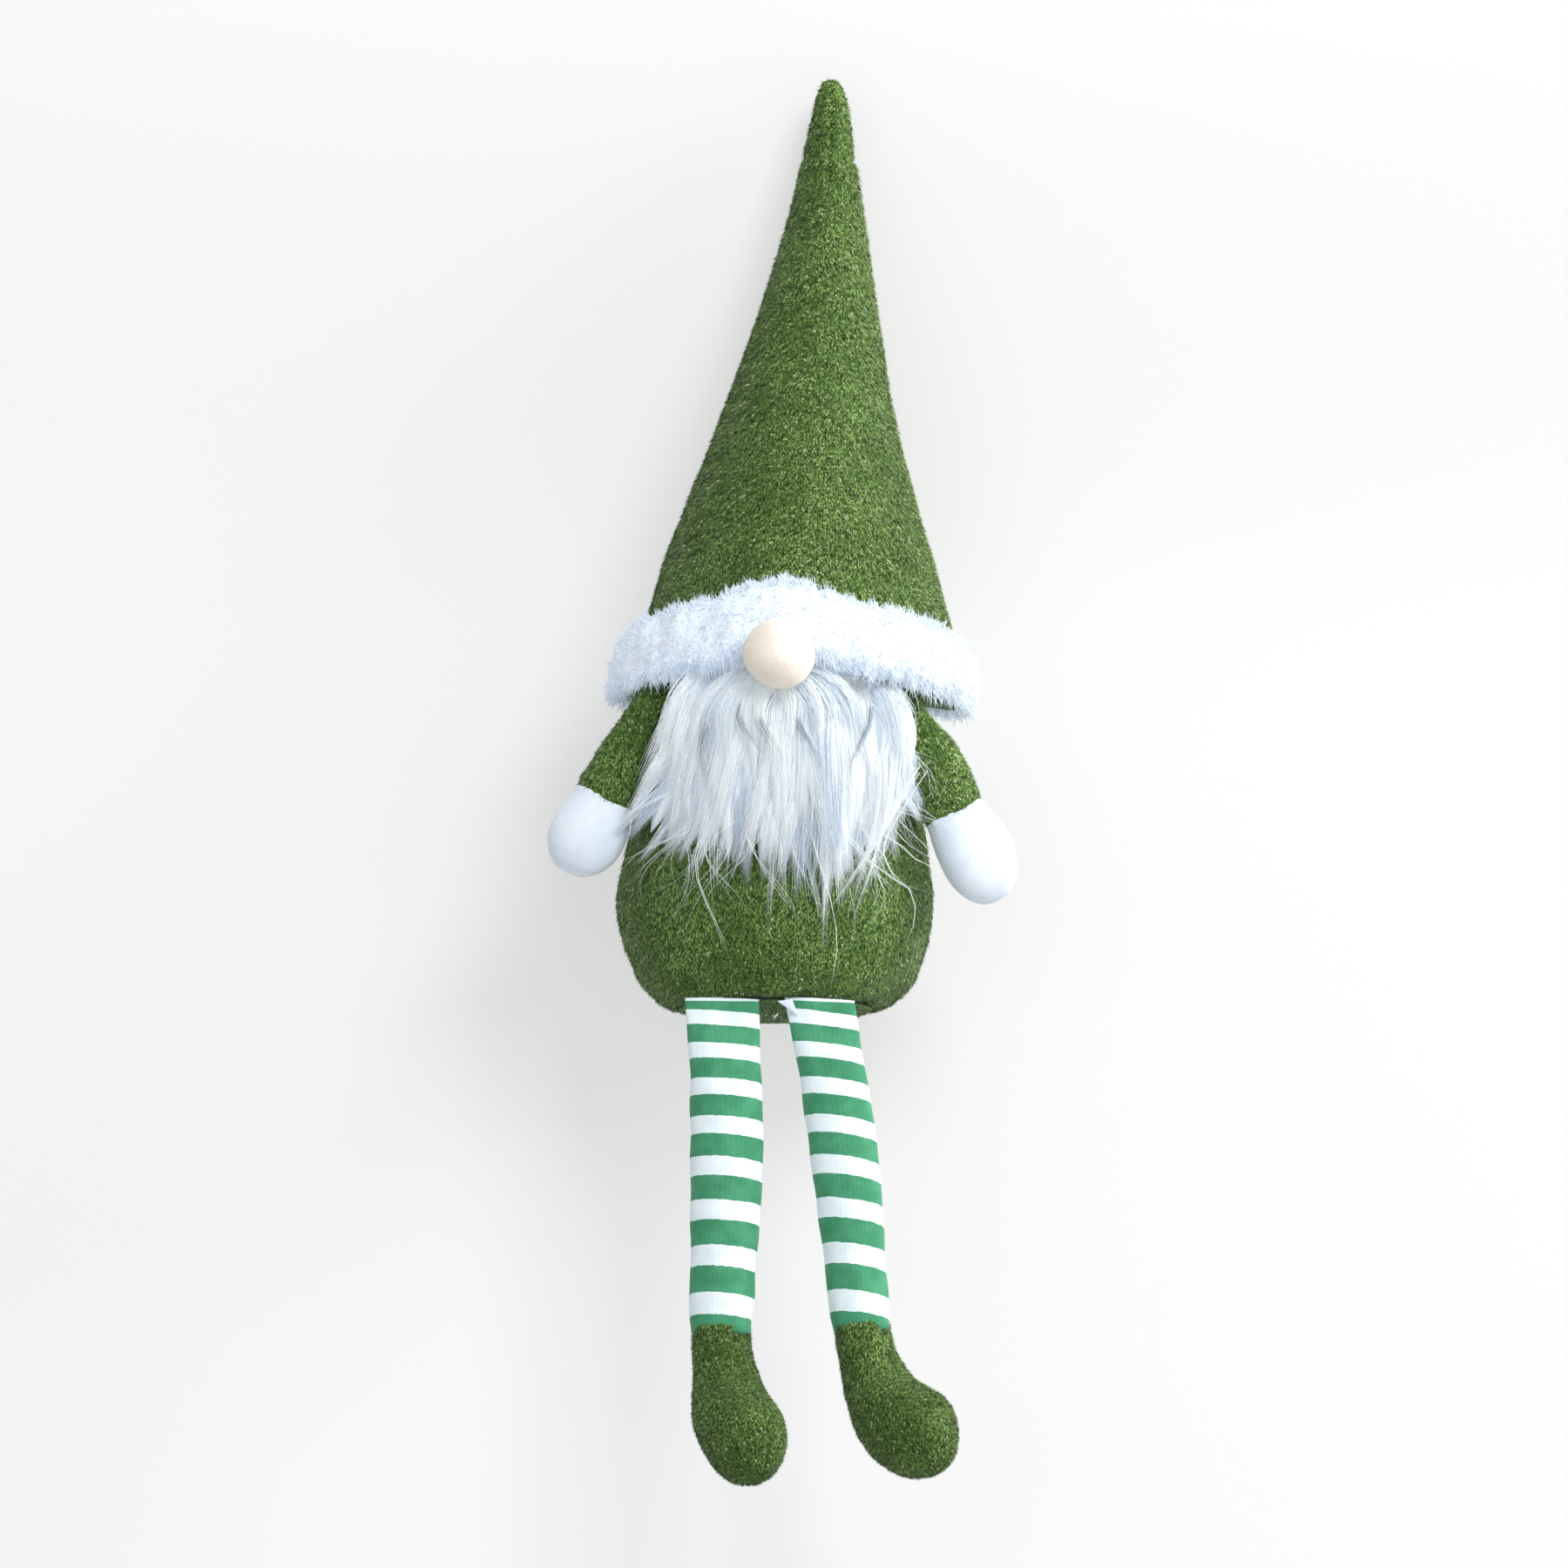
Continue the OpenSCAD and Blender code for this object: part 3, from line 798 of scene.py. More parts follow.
def body_creases(places):
    """Small gathers that run off the seams, and soft lumps of stuffing."""
    gathers = ripple(places * (1, 0.25, 1), 2.6, 11) * np.exp(-np.abs(places[:, 1]) / 7)
    low = ripple(places * (1, 1, 0.2), 3.5, 12) * np.exp(-np.abs(places[:, 2] - SEAM_Z) / 6)
    return ripple(places, 20, 13) * 0.35 + gathers * 0.25 + low * 0.3 - body_seams(places) * 0.7


def make_body():
    levels = np.concatenate([np.linspace(SEAM_Z + 0.2, 10, 10), np.linspace(11.6, BODY_TOP, 66)])
    skin = lofted("body_plush", 120, levels, body_point, PLUSH)
    stuff(skin, lambda p: np.maximum(body_seams(p), p[:, 2] > BODY_HELD_Z), cap=1.2)
    press(skin, body_creases)
    floor = np.array([0, SEAM_Z * 0.4, SEAM_Z * 0.8, SEAM_Z + 0.6, SEAM_Z + 1.2])

    def base_point(angle, level):
        lift = np.maximum(level - SEAM_Z, 0) * 0.2
        inside = body_point(angle, np.minimum(level, SEAM_Z)) * (0.985, 0.985, 1)
        return inside + np.stack([0 * level, 0 * level, lift], axis=1)

    base = lofted("base_plush", 96, floor, base_point, PLUSH)
    fibres = nap("body_nap", skin, 42000, 1.8, 0.38, 0.9, 21, DOWNWARDS, (6, 5, 3, 1.5, 0.8),
                 density=lambda p: (p[:, 2] < BODY_PILE_Z) * 1.0)
    # The base's pile gets darker tones: painted shade on the underside.
    under = nap("base_nap", base, 4000, 1.5, 0.34, 0.92, 22, one_way([0.0, 1.0, 0.0]), (9, 4, 1, 0.3, 0.1),
                density=lambda p: (p[:, 2] < SEAM_Z * 0.7) * 1.0)
    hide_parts("body_front_panel", "body_back_panel")
    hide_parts("base_panel")
    for piece in (skin, base, fibres, under):
        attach(piece, "torso")


# ---------------------------------------------------------------- hat

TIP_HINGE = joint_at("hat_tip_bend")
HEM_Z = 111.4
HEM_PITCH = 0.135
HEM_BACK_PITCH = 0.14
HEM_ROLL = 0.062
HEM_X = 6.0
HEM_PUSH = 7.0
HEM_PUSH_X = 1.5
HEM_PUSH_HALF = 19.0


def hem_rise(x, y):
    """How far the hem stands above HEM_Z: up over the face and at the nape, most where the nose pushes it,
    and lower at the gnome's left."""
    soft = np.sqrt(y * y + 100)
    front = np.clip(-y / 30, 0, 1)
    push = HEM_PUSH * np.exp(-((x - HEM_PUSH_X) / HEM_PUSH_HALF) ** 2) * front ** 2
    roll = HEM_ROLL * (np.sqrt((x - HEM_X) ** 2 + 64) + (x - HEM_X)) / 2
    return HEM_PITCH * (soft - y) / 2 + HEM_BACK_PITCH * (soft + y) / 2 + push - roll


def above_hem(places):
    return places[:, 2] - hem_rise(places[:, 0], places[:, 1])


# Height, middle x, middle y, half width, depth as a share of the width
HAT = [
    (96, 4.6, 0, 60.6, 0.90),
    (116, 5.6, 0.2, 58.3, 0.90),
    (134, 7.6, 0.6, 55.4, 0.91),
    (151, 7.9, 1.6, 50.4, 0.92),
    (164, 8.1, 2.2, 46.7, 0.93),
    (176, 8.8, 3.0, 42.9, 0.95),
    (189, 9.5, 3.8, 39.0, 0.96),
    (201, 10.4, 4.6, 34.9, 0.97),
    (214, 11.5, 5.6, 31.0, 0.98),
    (226, 12.6, 6.6, 27.5, 0.98),
    (239, 13.9, 7.5, 24.3, 0.99),
    (252, 15.1, 8.4, 21.2, 0.99),
    (264, 16.2, 9.4, 18.5, 1.0),
    (277, 17.4, 10.4, 15.7, 1.0),
    (289, 18.2, 11.2, 13.1, 1.0),
    (302, 18.8, 12.2, 10.8, 1.0),
    (309, 19.2, 12.7, 9.6, 1.0),
    (315, 19.6, 12.9, 8.5, 1.0),
    (321, 19.8, 13.0, 7.4, 1.0),
    (328, 19.9, 13.0, 6.0, 1.0),
    (333.5, 19.9, 13.0, 4.5, 1.0),
    (336.8, 19.9, 13.0, 2.8, 1.0),
    (338.2, 19.9, 13.0, 0.9, 1.0),
]


def hat_point(angle, level, grow=0.0, tilt=None):
    """A point of the hat. Rings lie along the hem near it and level higher up."""
    if tilt is None:
        tilt = np.clip(1 - (level - HEM_Z) / 110, 0, 1) ** 1.5
    z = level
    for _ in range(3):
        mid_x, mid_y, half_w, flat = smooth_curve(HAT, z)
        x, y = oval(angle, half_w + grow, half_w * flat + grow, 2.0)
        z = level + tilt * hem_rise(mid_x + x, mid_y + y)
    return np.stack([mid_x + x, mid_y + y, z], axis=1)


CREASE_Z = TIP_HINGE[2] - 4.6


def hat_creases(places):
    """The fold under the tip, the back seam and soft lumps of stuffing."""
    fold = dent(places[:, 2] - CREASE_Z + (places[:, 0] - TIP_HINGE[0]) * 0.10, 0.75)
    side = np.clip(0.35 + (places[:, 0] - TIP_HINGE[0]) / 12, 0, 1)
    above = (places[:, 2] > CREASE_Z - (places[:, 0] - TIP_HINGE[0]) * 0.10) * side
    above = above * np.clip(1 - (places[:, 2] - CREASE_Z) / 16, 0, 1)
    mid_x = smooth_curve(HAT, places[:, 2])[0]
    back = dent(places[:, 0] - mid_x, 1.1) * (places[:, 1] > 0)
    gathers = ripple(places * (0.3, 1, 1), 2.6, 31) * np.exp(-np.abs(places[:, 0] - mid_x) / 6)
    gathers = gathers * (places[:, 1] > 0)
    lumps = ripple(places, 26, 32) * np.clip((300 - places[:, 2]) / 150, 0.15, 1)
    return lumps * 0.55 + gathers * 0.22 - back * 0.6 - fold * 0.8 - above * 0.7


def hat_comb(places):
    """The pile lies down the hat and sweeps a little to the gnome's right."""
    way = np.zeros_like(places)
    way[:, 0] = -0.55 + 0.3 * ripple(places, 40, 33)
    way[:, 2] = -1.0
    return way


def make_hat():
    levels = np.concatenate([np.linspace(HEM_Z + 0.6, 300, 92), np.linspace(301, 327, 36),
                             [329, 331, 332.8, 334.4, 335.6, 336.6, 337.4, 337.9, 338.2]])
    skin = lofted("hat_plush", 112, levels, hat_point, PLUSH)
    stuff(skin, lambda p: np.maximum(above_hem(p) < HEM_Z + 6, p[:, 2] > 290), cap=0.9)
    press(skin, hat_creases)
    fill = filling(skin, "hat_fill")

    def visible(places):
        return (above_hem(places) > HEM_Z + 10) * (1 - 0.8 * dent(places[:, 2] - CREASE_Z, 1.2))

    def highlights(places):
        """More light fibres: painted light towards the gnome's left, the side the lamps light, and more in
        random clouds.
        """
        mid_x, _, half_w, _ = smooth_curve(HAT, places[:, 2])
        across = (places[:, 0] - mid_x) / np.maximum(half_w, 1)
        lit_and_clouded = np.clip(0.62 + 1.4 * across + ripple(places, 18, 34) * 0.5, 0.1, 2.4)
        return visible(places) * (places[:, 2] < CREASE_Z) * lit_and_clouded

    fibres = nap("hat_nap", skin, 46000, 1.9, 0.40, 0.9, 35, hat_comb, (6, 5, 4, 2, 0.8), density=visible)
    light = nap("hat_nap_light", skin, 17000, 1.9, 0.34, 0.86, 36, hat_comb, (3, 1, 3, 7, 5),
                density=highlights)
    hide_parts("hat_cone", "hat_tip_cap")
    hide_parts("hat_stuffing", "hat_tip_stuffing")
    for piece in (skin, fill, fibres, light):
        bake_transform(piece)


# ---------------------------------------------------------------- fur band

BAND_H = 25.0
BAND_T = 7.6
BAND_CURLS = 7600


def band_edges(x):
    """Heights of the band's lower and upper edge above HEM_Z: it is narrower at the sides."""
    left = np.clip((x - 25) / 35, 0, 1) ** 2
    right = np.clip((-x - 20) / 35, 0, 1) ** 2
    return -0.8 + 1.6 * left + 1.4 * right, BAND_H - 0.8 - 4.2 * left


def band_point(angle, turn):
    """The band's section goes round from 0 to 1: out under the hem, up the face, and back over the top."""
    up = 0.5 - 0.5 * np.cos(turn * 2 * math.pi)
    out = np.sin(turn * 2 * math.pi)
    low, high = band_edges(np.cos(angle) * 60)
    height = HEM_Z + low + (high - low) * up
    grow = np.where(out > 0, 0.9 + BAND_T * np.abs(out) ** 0.5, 0.9 - 0.6 * np.abs(out))
    return hat_point(angle, height, grow, tilt=1.0)


def band_lumps(places):
    """Curly clumps of the wool."""
    return ripple(places, 3.2, 41) * 0.45 + ripple(places, 8, 42) * 0.5 - 0.6


def make_band_ground():
    around, section = 300, 40
    bm = unit_tube(section, around)
    caps = [vert for vert in bm.verts if math.hypot(vert.co.x, vert.co.y) < 0.5]
    bmesh.ops.delete(bm, geom=caps, context="VERTS")
    tube = np.array([vert.co[:] for vert in bm.verts])
    turn = np.arctan2(tube[:, 1], tube[:, 0]) / (2 * math.pi)
    places = band_point(tube[:, 2] / around * 2 * math.pi, turn % 1.0)
    for vert, place in zip(bm.verts, places * MM):
        vert.co = place
    bmesh.ops.remove_doubles(bm, verts=bm.verts, dist=0.02 * MM)
    bmesh.ops.recalc_face_normals(bm, faces=bm.faces)
    return press(link(mesh_from(bm, "band_fur_ground"), "band_fur_ground", FUR), band_lumps)


def band_outside(places):
    """1 on the faces of the band that show, more at its edges."""
    mid_x, mid_y, half_w, flat = smooth_curve(HAT, places[:, 2])
    reach = np.hypot((places[:, 0] - mid_x) / half_w, (places[:, 1] - mid_y) / (half_w * flat))
    low = above_hem(places) < HEM_Z + 3
    high = above_hem(places) > HEM_Z + BAND_H - 5
    return (reach > 1.03) * (0.6 + 1.2 * low + 0.8 * high) * (1 - 0.35 * (places[:, 1] > 0))


def wool(name, ground, count, length, thickness, seed):
    """Short curls of wool that lean together in clumps, hang at the lower edge and stand at the top."""
    random = np.random.default_rng(seed)
    root, normal = surface_points(ground, count, random, density=band_outside)
    height = above_hem(root) - HEM_Z
    lower, upper = band_edges(root[:, 0])
    low = np.clip((lower + 5.8 - height) / 6, 0, 1)[:, None]
    high = np.clip((height - upper + 4.2) / 5, 0, 1)[:, None]
    clump = np.stack([ripple(root, 2.6, seed + k) for k in (1, 2, 3)], axis=1)
    down = np.array([0.0, 0.0, -1.0])
    edge = np.maximum(low, high)
    first = unit(normal * (0.35 + 0.5 * edge) + clump * 0.45 + random.normal(0, 0.25, (count, 3))
                 + down * (0.3 + low * 0.8 - high * 1.0))
    last = unit(clump * 0.8 + random.normal(0, 0.6, (count, 3)) + normal * 0.15
                + down * (0.35 + low * 0.9 - high * 1.1))
    long = length * random.uniform(0.6, 1.3, count)[:, None] * (0.65 + 0.8 * low + 0.4 * high)
    share = np.linspace(0, 1, 4)[None, :, None]
    curl = first[:, None] * share * (1 - share / 2) + last[:, None] * share ** 2 / 2
    lines = root[:, None] - normal[:, None] * 0.4 + curl * long[:, None] * 1.3
    tones = random.choice(3, count, p=(0.74, 0.22, 0.04))
    return strands(name, lines, thickness * random.uniform(0.7, 1.4, count), FUR_TONES, tones)


def make_band():
    ground = make_band_ground()
    pieces = [
        ground,
        wool("band_wool_short", ground, BAND_CURLS, 2.3, 0.62, 43),
        wool("band_wool_long", ground, BAND_CURLS, 3.4, 0.46, 47),
    ]
    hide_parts("hat_trim_pile", "hat_trim_backing")
    for piece in pieces:
        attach(piece, "torso")


# ---------------------------------------------------------------- beard

BEARD_X = 4.0
BEARD_HALF_W = 35.5
# Where the mass of the beard ends: place across, height
BEARD_EDGE = [(-58, 69), (-50, 64), (-40, 55), (-30, 49), (-20, 47), (-8, 45), (4, 44), (14, 38), (20, 33),
              (27, 42), (36, 52), (46, 66), (54, 78)]
SIDE_Y = -33.0
BAND_MIDDLE_Z = 118.0


def chest(x, z):
    """The y of what the beard lies on: the body, and level with the sleeves beside it."""
    return np.minimum(body_front(x, np.clip(z, 1, BODY_TOP - 1)), SIDE_Y)


def off_chest(x, z, off):
    """Places in front of the chest by off millimetres."""
    return np.stack([x, chest(x, z) - off, z], axis=-1)


def beard_guides(count, seed, roots, tips, puff, points=7, reach=46.0):
    """Middle lines of locks. roots is a range of depths below the hem, tips a range above the beard's edge
    and puff a range of how far they stand off the chest."""
    random = np.random.default_rng(seed)
    across = (np.arange(count) + random.random(count)) / count * 2 - 1
    random.shuffle(across)
    root_x = BEARD_X + across * (BEARD_HALF_W - 2.5 * (across < 0))
    band_y = body_front(root_x, BAND_MIDDLE_Z + 0 * root_x) - 8
    root_z = HEM_Z + hem_rise(root_x, band_y) - random.uniform(*roots, count)
    tip_x = 0.5 + across * (reach + 3 * (across < 0)) + random.normal(0, 4.0, count)
    tip_z = np.interp(tip_x, *np.transpose(BEARD_EDGE))
    kept = 1 - random.uniform(*tips, count) / (root_z - tip_z)
    tip_x, tip_z = root_x + (tip_x - root_x) * kept, root_z + (tip_z - root_z) * kept
    stand = random.uniform(*puff, count) * (1 - 0.45 * np.abs(across) ** 3)
    stand += 1.6 * ripple(np.stack([root_x, 0 * root_x, tip_z], axis=1), 6, seed + 3)
    share = np.linspace(0, 1, points)[None]
    bow = ripple(np.stack([root_x, tip_z, root_z], axis=1), 12, seed + 1)[:, None] * 2.6
    swell = 4.5 * np.clip(across, 0, 1)[:, None] ** 2 * np.sin(share * math.pi)
    x = root_x[:, None] + (tip_x - root_x)[:, None] * share ** 0.95 + bow * np.sin(share * 4.2) + swell
    z = root_z[:, None] + (tip_z - root_z)[:, None] * share ** 1.12
    off = 0.8 + stand[:, None] * (4 * (share * 0.9 + 0.06) * (1 - share * 0.9 - 0.06)) ** 0.65
    return off_chest(x, z, off)


def lock_of_hair(guides, each, spread, seed, wave=0.8, close=0.8, cut=0.7):
    """Strands around middle lines, apart at the root and drawn together towards the tip."""
    random = np.random.default_rng(seed)
    locks, points = guides.shape[:2]
    share = np.linspace(0, 1, points)
    start = random.normal(0, spread, (locks, each, 1, 3)) * (1, 0.45, 0.6)
    lines = guides[:, None] + start * (1 - close * share ** 0.8)[None, None, :, None]
    turn = random.uniform(0, 2 * math.pi, (locks, each, 1, 2))
    swing = np.sin(share[None, None, :, None] * random.uniform(2.5, 6, (locks, each, 1, 1)) + turn)
    lines[..., 0] += swing[..., 0] * share * wave
    lines[..., 1] += np.minimum(swing[..., 1], 0.3) * share * wave * 0.6
    lines = lines.reshape(locks * each, points, 3)
    shorter = random.uniform(cut, 1, locks * each)
    places = share[None] * shorter[:, None] * (points - 1)
    low = np.minimum(places.astype(int), points - 2)
    part = (places - low)[..., None]
    rows = np.arange(len(lines))[:, None]
    lines = lines[rows, low] * (1 - part) + lines[rows, low + 1] * part
    lines[..., 1] = np.minimum(lines[..., 1], chest(lines[..., 0], lines[..., 2]) - 0.5)
    return lines


def hair(name, guides, each, spread, seed, shares, thick=(0.17, 0.34), **settings):
    lines = lock_of_hair(guides, each, spread, seed, **settings)
    random = np.random.default_rng(seed + 500)
    middle = lines[:, lines.shape[1] // 2] * (1, 0.3, 0.6)
    tones = clumped_tones(middle, shares, 7, seed + 501, random)
    return strands(name, lines, random.uniform(*thick, len(lines)), HAIR_TONES, tones)


# Lines of the shaded partings in the moustache, along which dark strands are painted shade: across, height.
# PARTING_OFF is how far they are off the chest
PARTINGS = [
    [(-6.5, 108), (-11.5, 104), (-13.0, 98), (-8.0, 90), (-1.5, 83), (2.5, 79)],
    [(-5.0, 107), (-6.5, 101), (-5.0, 95), (-1.0, 89), (1.0, 84), (2.5, 79)],
    [(5.5, 106), (7.0, 98), (11.5, 91), (15.0, 85), (18.5, 78), (20.5, 71)],
    [(20.0, 115), (27.0, 115), (33.0, 113.5), (33.5, 110), (29.0, 108), (23.0, 109)],
    [(-22.0, 100), (-25.0, 92), (-26.0, 84), (-24.0, 77), (-23.0, 71), (-24.5, 64)],
    [(34.0, 104), (33.0, 96), (29.5, 89), (27.0, 83), (26.0, 77), (27.5, 70)],
]
PARTING_OFF = 17.5
MOUSTACHE_X = 1.5


def moustache_guides():
    """Locks that part under the nose and curve out and down to both sides, and some that hang between."""
    random = np.random.default_rng(61)
    guides = []
    turns = [*np.linspace(-1, -0.25, 13), *np.linspace(-0.12, 0.12, 4), *np.linspace(0.25, 1, 13)]
    for turn in turns:
        share = np.linspace(0, 1, 7)
        side = math.copysign(1, turn)
        out = abs(turn)
        root_x, root_z = MOUSTACHE_X + side * (2 + out * 9), 112 + out * 4
        tip_x = MOUSTACHE_X + side * (3 + out * 26) + random.normal(0, 1.5)
        tip_z = 82 + out * 4 + random.normal(0, 3)
        bow = side * np.sin(share * math.pi) * 3
        x = root_x + (tip_x - root_x) * np.sin(share * math.pi / 2) ** 0.8 + bow
        z = root_z + (tip_z - root_z) * share ** 1.3
        off = 12 + 7 * np.sin(share * math.pi) ** 0.7 - 3 * share + random.uniform(-1, 1)
        guides.append(off_chest(x, z, off))
    return np.array(guides)


def parting_guides():
    guides = []
    for line in PARTINGS:
        line = np.array(line)
        x, z = smooth_curve(np.column_stack([np.arange(len(line)), line]), np.linspace(0, len(line) - 1, 7))
        off = PARTING_OFF - 2.5 * np.abs(np.linspace(-1, 1, 7)) ** 3
        guides.append(off_chest(x, z, off))
    return np.array(guides)


def wisp_guides():
    """Long stray hairs that wander off the beard's sides and end, each its own way."""
    random = np.random.default_rng(71)
    count, points = 150, 10
    across = random.uniform(-1, 1, count)
    share = np.linspace(0, 1, points)[None]
    root_x = BEARD_X + across * 36
    root_z = random.uniform(58, 104, count)
    way = across * 0.75 + random.normal(0, 0.42, count)
    length = random.uniform(16, 50, count)
    bow = random.normal(0, 5, count)[:, None]
    hook = random.normal(0, 2.2, count)[:, None]
    x = root_x[:, None] + (np.sin(way) * length)[:, None] * share ** 1.3
    x = np.clip(x + bow * np.sin(share * math.pi) + hook * np.sin(share * 2 * math.pi), -60, 62)
    z = np.maximum(root_z[:, None] - (np.cos(way) * length)[:, None] * share + hook * share ** 2, 3)
    off = 3.5 + random.uniform(0, 4, count)[:, None] * np.sin(share * math.pi) + 4 * (1 - share)
    return off_chest(x, z, off)


# The longest stray hairs: across, height
LONG_WISPS = [
    [(12, 60), (16, 46), (20, 34), (22, 24), (22, 16), (20, 9), (19, 5)],
    [(-24, 62), (-28, 50), (-27, 42), (-24, 34), (-21, 27), (-19, 21), (-18, 17)],
    [(30, 66), (38, 60), (46, 55), (50, 51), (55, 49), (58, 47), (61, 47)],
    [(24, 58), (32, 50), (41, 44), (48, 40), (50, 33), (49, 26), (46, 21)],
    [(-38, 74), (-46, 70), (-52, 67), (-55, 63), (-58, 62), (-60, 60), (-61, 57)],
]


def long_wisp_guides():
    guides = []
    for line in LONG_WISPS:
        x, z = np.array(line, float).T
        guides.append(off_chest(x, z, np.linspace(8, 3.0, len(x))))
    return np.array(guides)


def make_beard():
    under = np.concatenate([
        beard_guides(44, 81, (12, 28), (2, 12), (3, 7), points=13),
        beard_guides(40, 82, (0, 8), (8, 22), (7, 11), points=13),
    ])
    width = np.random.default_rng(83).uniform(9, 13, len(under))
    ground = strands("beard_lock_forms", under, width, [BEARD], np.zeros(len(under), int),
                     shape=lock_shape, sides=12, flat=0.6)
    longest = beard_guides(9, 84, (24, 34), (-1, 2), (5, 8), reach=9)
    longest[..., 0] += 16
    drop = longest[..., 2] - longest[:, :1, 2]
    longest[..., 2] = longest[:, :1, 2] + drop * np.linspace(1.1, 1.6, 9)[:, None]
    pieces = [
        ground,
        # The lower layers get more of the cool and grey tones: painted shade under the layers above them.
        hair("beard_low_hair", beard_guides(46, 85, (22, 36), (-8, 6), (4, 8), reach=49), 92, 2.7, 86,
             (5, 3, 3, 1), close=0.88),
        hair("beard_middle_hair", beard_guides(50, 87, (10, 22), (-6, 14), (7, 12), reach=50), 84, 2.6, 88,
             (6, 3, 1.6, 0.4), close=0.88),
        hair("beard_top_hair", beard_guides(64, 89, (-3, 9), (0, 30), (10, 16), reach=51), 66, 2.1, 90,
             (8, 3, 0.6, 0.05), close=0.5, wave=1.3, cut=0.55),
        hair("beard_long_hair", longest, 26, 1.6, 91, (6, 3, 1, 0.3), thick=(0.14, 0.26)),
        hair("moustache_hair", moustache_guides(), 60, 1.9, 92, (6, 3, 1, 0.3), cut=0.6),
        # Dark strands along the partings: painted shade between the locks.
        hair("moustache_parting_shade", parting_guides(), 24, 0.8, 93, (0, 0, 3, 3, 1),
             thick=(0.14, 0.24), close=0.1, cut=0.4, wave=1.0),
        hair("beard_wisps", wisp_guides(), 3, 0.9, 94, (6, 2, 1, 0),
             thick=(0.14, 0.25), close=0.2, wave=2.6, cut=0.5),
        hair("beard_longest_wisps", long_wisp_guides(), 2, 0.5, 95, (1, 0),
             thick=(0.22, 0.3), close=0.2, wave=0.8, cut=0.9),
    ]
    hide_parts("beard_pile", "beard_backing")
    for piece in pieces:
        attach(piece, "torso")


# ---------------------------------------------------------------- nose

NOSE_LOW, NOSE_HIGH = corners("nose_cover")
NOSE_R = (NOSE_HIGH[2] - NOSE_LOW[2]) / 2
NOSE_X = (NOSE_LOW[0] + NOSE_HIGH[0]) / 2
NOSE_Z = (NOSE_LOW[2] + NOSE_HIGH[2]) / 2
NOSE_AT = np.array([NOSE_X, NOSE_LOW[1] + NOSE_R, NOSE_Z])


def make_nose():
    bm = bmesh.new()
    bmesh.ops.create_uvsphere(bm, u_segments=64, v_segments=40, radius=NOSE_R * MM)
    bmesh.ops.rotate(bm, verts=bm.verts, matrix=Matrix.Rotation(math.pi / 2, 3, "X"))
    bmesh.ops.translate(bm, verts=bm.verts, vec=Vector(NOSE_AT) * MM)
    nose = link(mesh_from(bm, "nose_felt_ball"), "nose_felt_ball", FELT)

    def gathered(places):
        away = places - NOSE_AT
        back = np.clip(away[:, 1] / NOSE_R, 0, 1) ** 3
        turn = np.arctan2(away[:, 2], away[:, 0])
        return ripple(places, 9, 61) * 0.22 + np.sin(turn * 14) * back * 0.5 - back * 1.2

    press(nose, gathered)
    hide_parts("nose_cover")
    fuzz = nap("nose_fuzz", nose, 5000, 0.7, 0.16, 0.72, 62, DOWNWARDS, (1, 2), tones=FELT_TONES, clump=1.5)
    for piece in (nose, fuzz):
        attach(piece, "torso")


# ---------------------------------------------------------------- arms

ARM_ANGLE = math.radians(27)
CUFF = 41.0
MITTEN_HALF_W = 13.4
# Distance below the shoulder, half width, half thickness
SLEEVE = [
    (-9, 3.0, 3.0),
    (-6, 5.0, 4.6),
    (0, 5.8, 5.4),
    (12, 6.8, 5.8),
    (24, 8.4, 6.7),
    (33, 9.7, 7.5),
    (CUFF, 10.7, 8.2),
    (CUFF + 1.2, 10.2, 7.8),
    (CUFF + 1.8, 8.8, 6.6),
]
MITTEN = [
    (CUFF - 1.5, 8.6, 6.4),
    (CUFF - 0.6, 10.0, 7.6),
    (CUFF + 3, 11.3, 8.4),
    (CUFF + 9, 12.7, 9.2),
    (CUFF + 16, MITTEN_HALF_W, 9.8),
    (CUFF + 22, 12.6, 9.3),
    (CUFF + 27, 10.4, 7.9),
    (CUFF + 30.6, 7.2, 5.6),
    (CUFF + 32.6, 3.8, 3.0),
    (CUFF + 33.2, 1.2, 1.0),
]
# How far each cuff and each mitten's end hang below those of the form
CUFF_DROP = {"right": 3.2, "left": 0.4}
HAND_DROP = {"right": -0.5, "left": 2.0}
# How many blades of each tone a sleeve has: the gnome's left one, on the lit side, gets lighter tones as
# painted light
SLEEVE_TONES = {"right": (6, 5, 4, 2, 1), "left": (3, 4, 5, 4, 2)}
# How much further out the sleeve stands halfway down
SLEEVE_BULGE = {"right": 1.0, "left": 3.2}


def stretch_arm(piece, name):
    """Bulges an arm's outer side, lengthens its sleeve to the cuff and fits its mitten below that."""
    places = points_of(piece.data)
    outer = 1 if name == "left" else -1
    bulge = SLEEVE_BULGE[name] * np.sin(np.clip((2 - places[:, 2]) / (CUFF + 2), 0, 1) * math.pi)
    places[:, 0] += outer * bulge * (places[:, 0] * outer > 0) * np.clip(np.abs(places[:, 0]) / 5, 0, 1)
    end = -MITTEN[-1][0]
    dropped = [end - HAND_DROP[name], -CUFF - CUFF_DROP[name], 0, 20]
    places[:, 2] = np.interp(places[:, 2], [end, -CUFF, 0, 20], dropped)
    set_points(piece.data, places)
    return piece


def limb(stations, power=2.2):
    """A rule for the skin of a limb that hangs straight down from its joint."""

    def point(angle, level):
        half_w, half_t = smooth_curve(stations, level)
        x, y = oval(angle, half_w, half_t, power)
        return np.stack([x, y, -level], axis=1)

    return point


def arm_turn(name):
    side = 1 if name == "left" else -1
    shoulder = Vector(joint_at(f"{name}_shoulder_lift")) * MM
    return Matrix.Translation(shoulder) @ Matrix.Rotation(-side * ARM_ANGLE, 4, "Y")


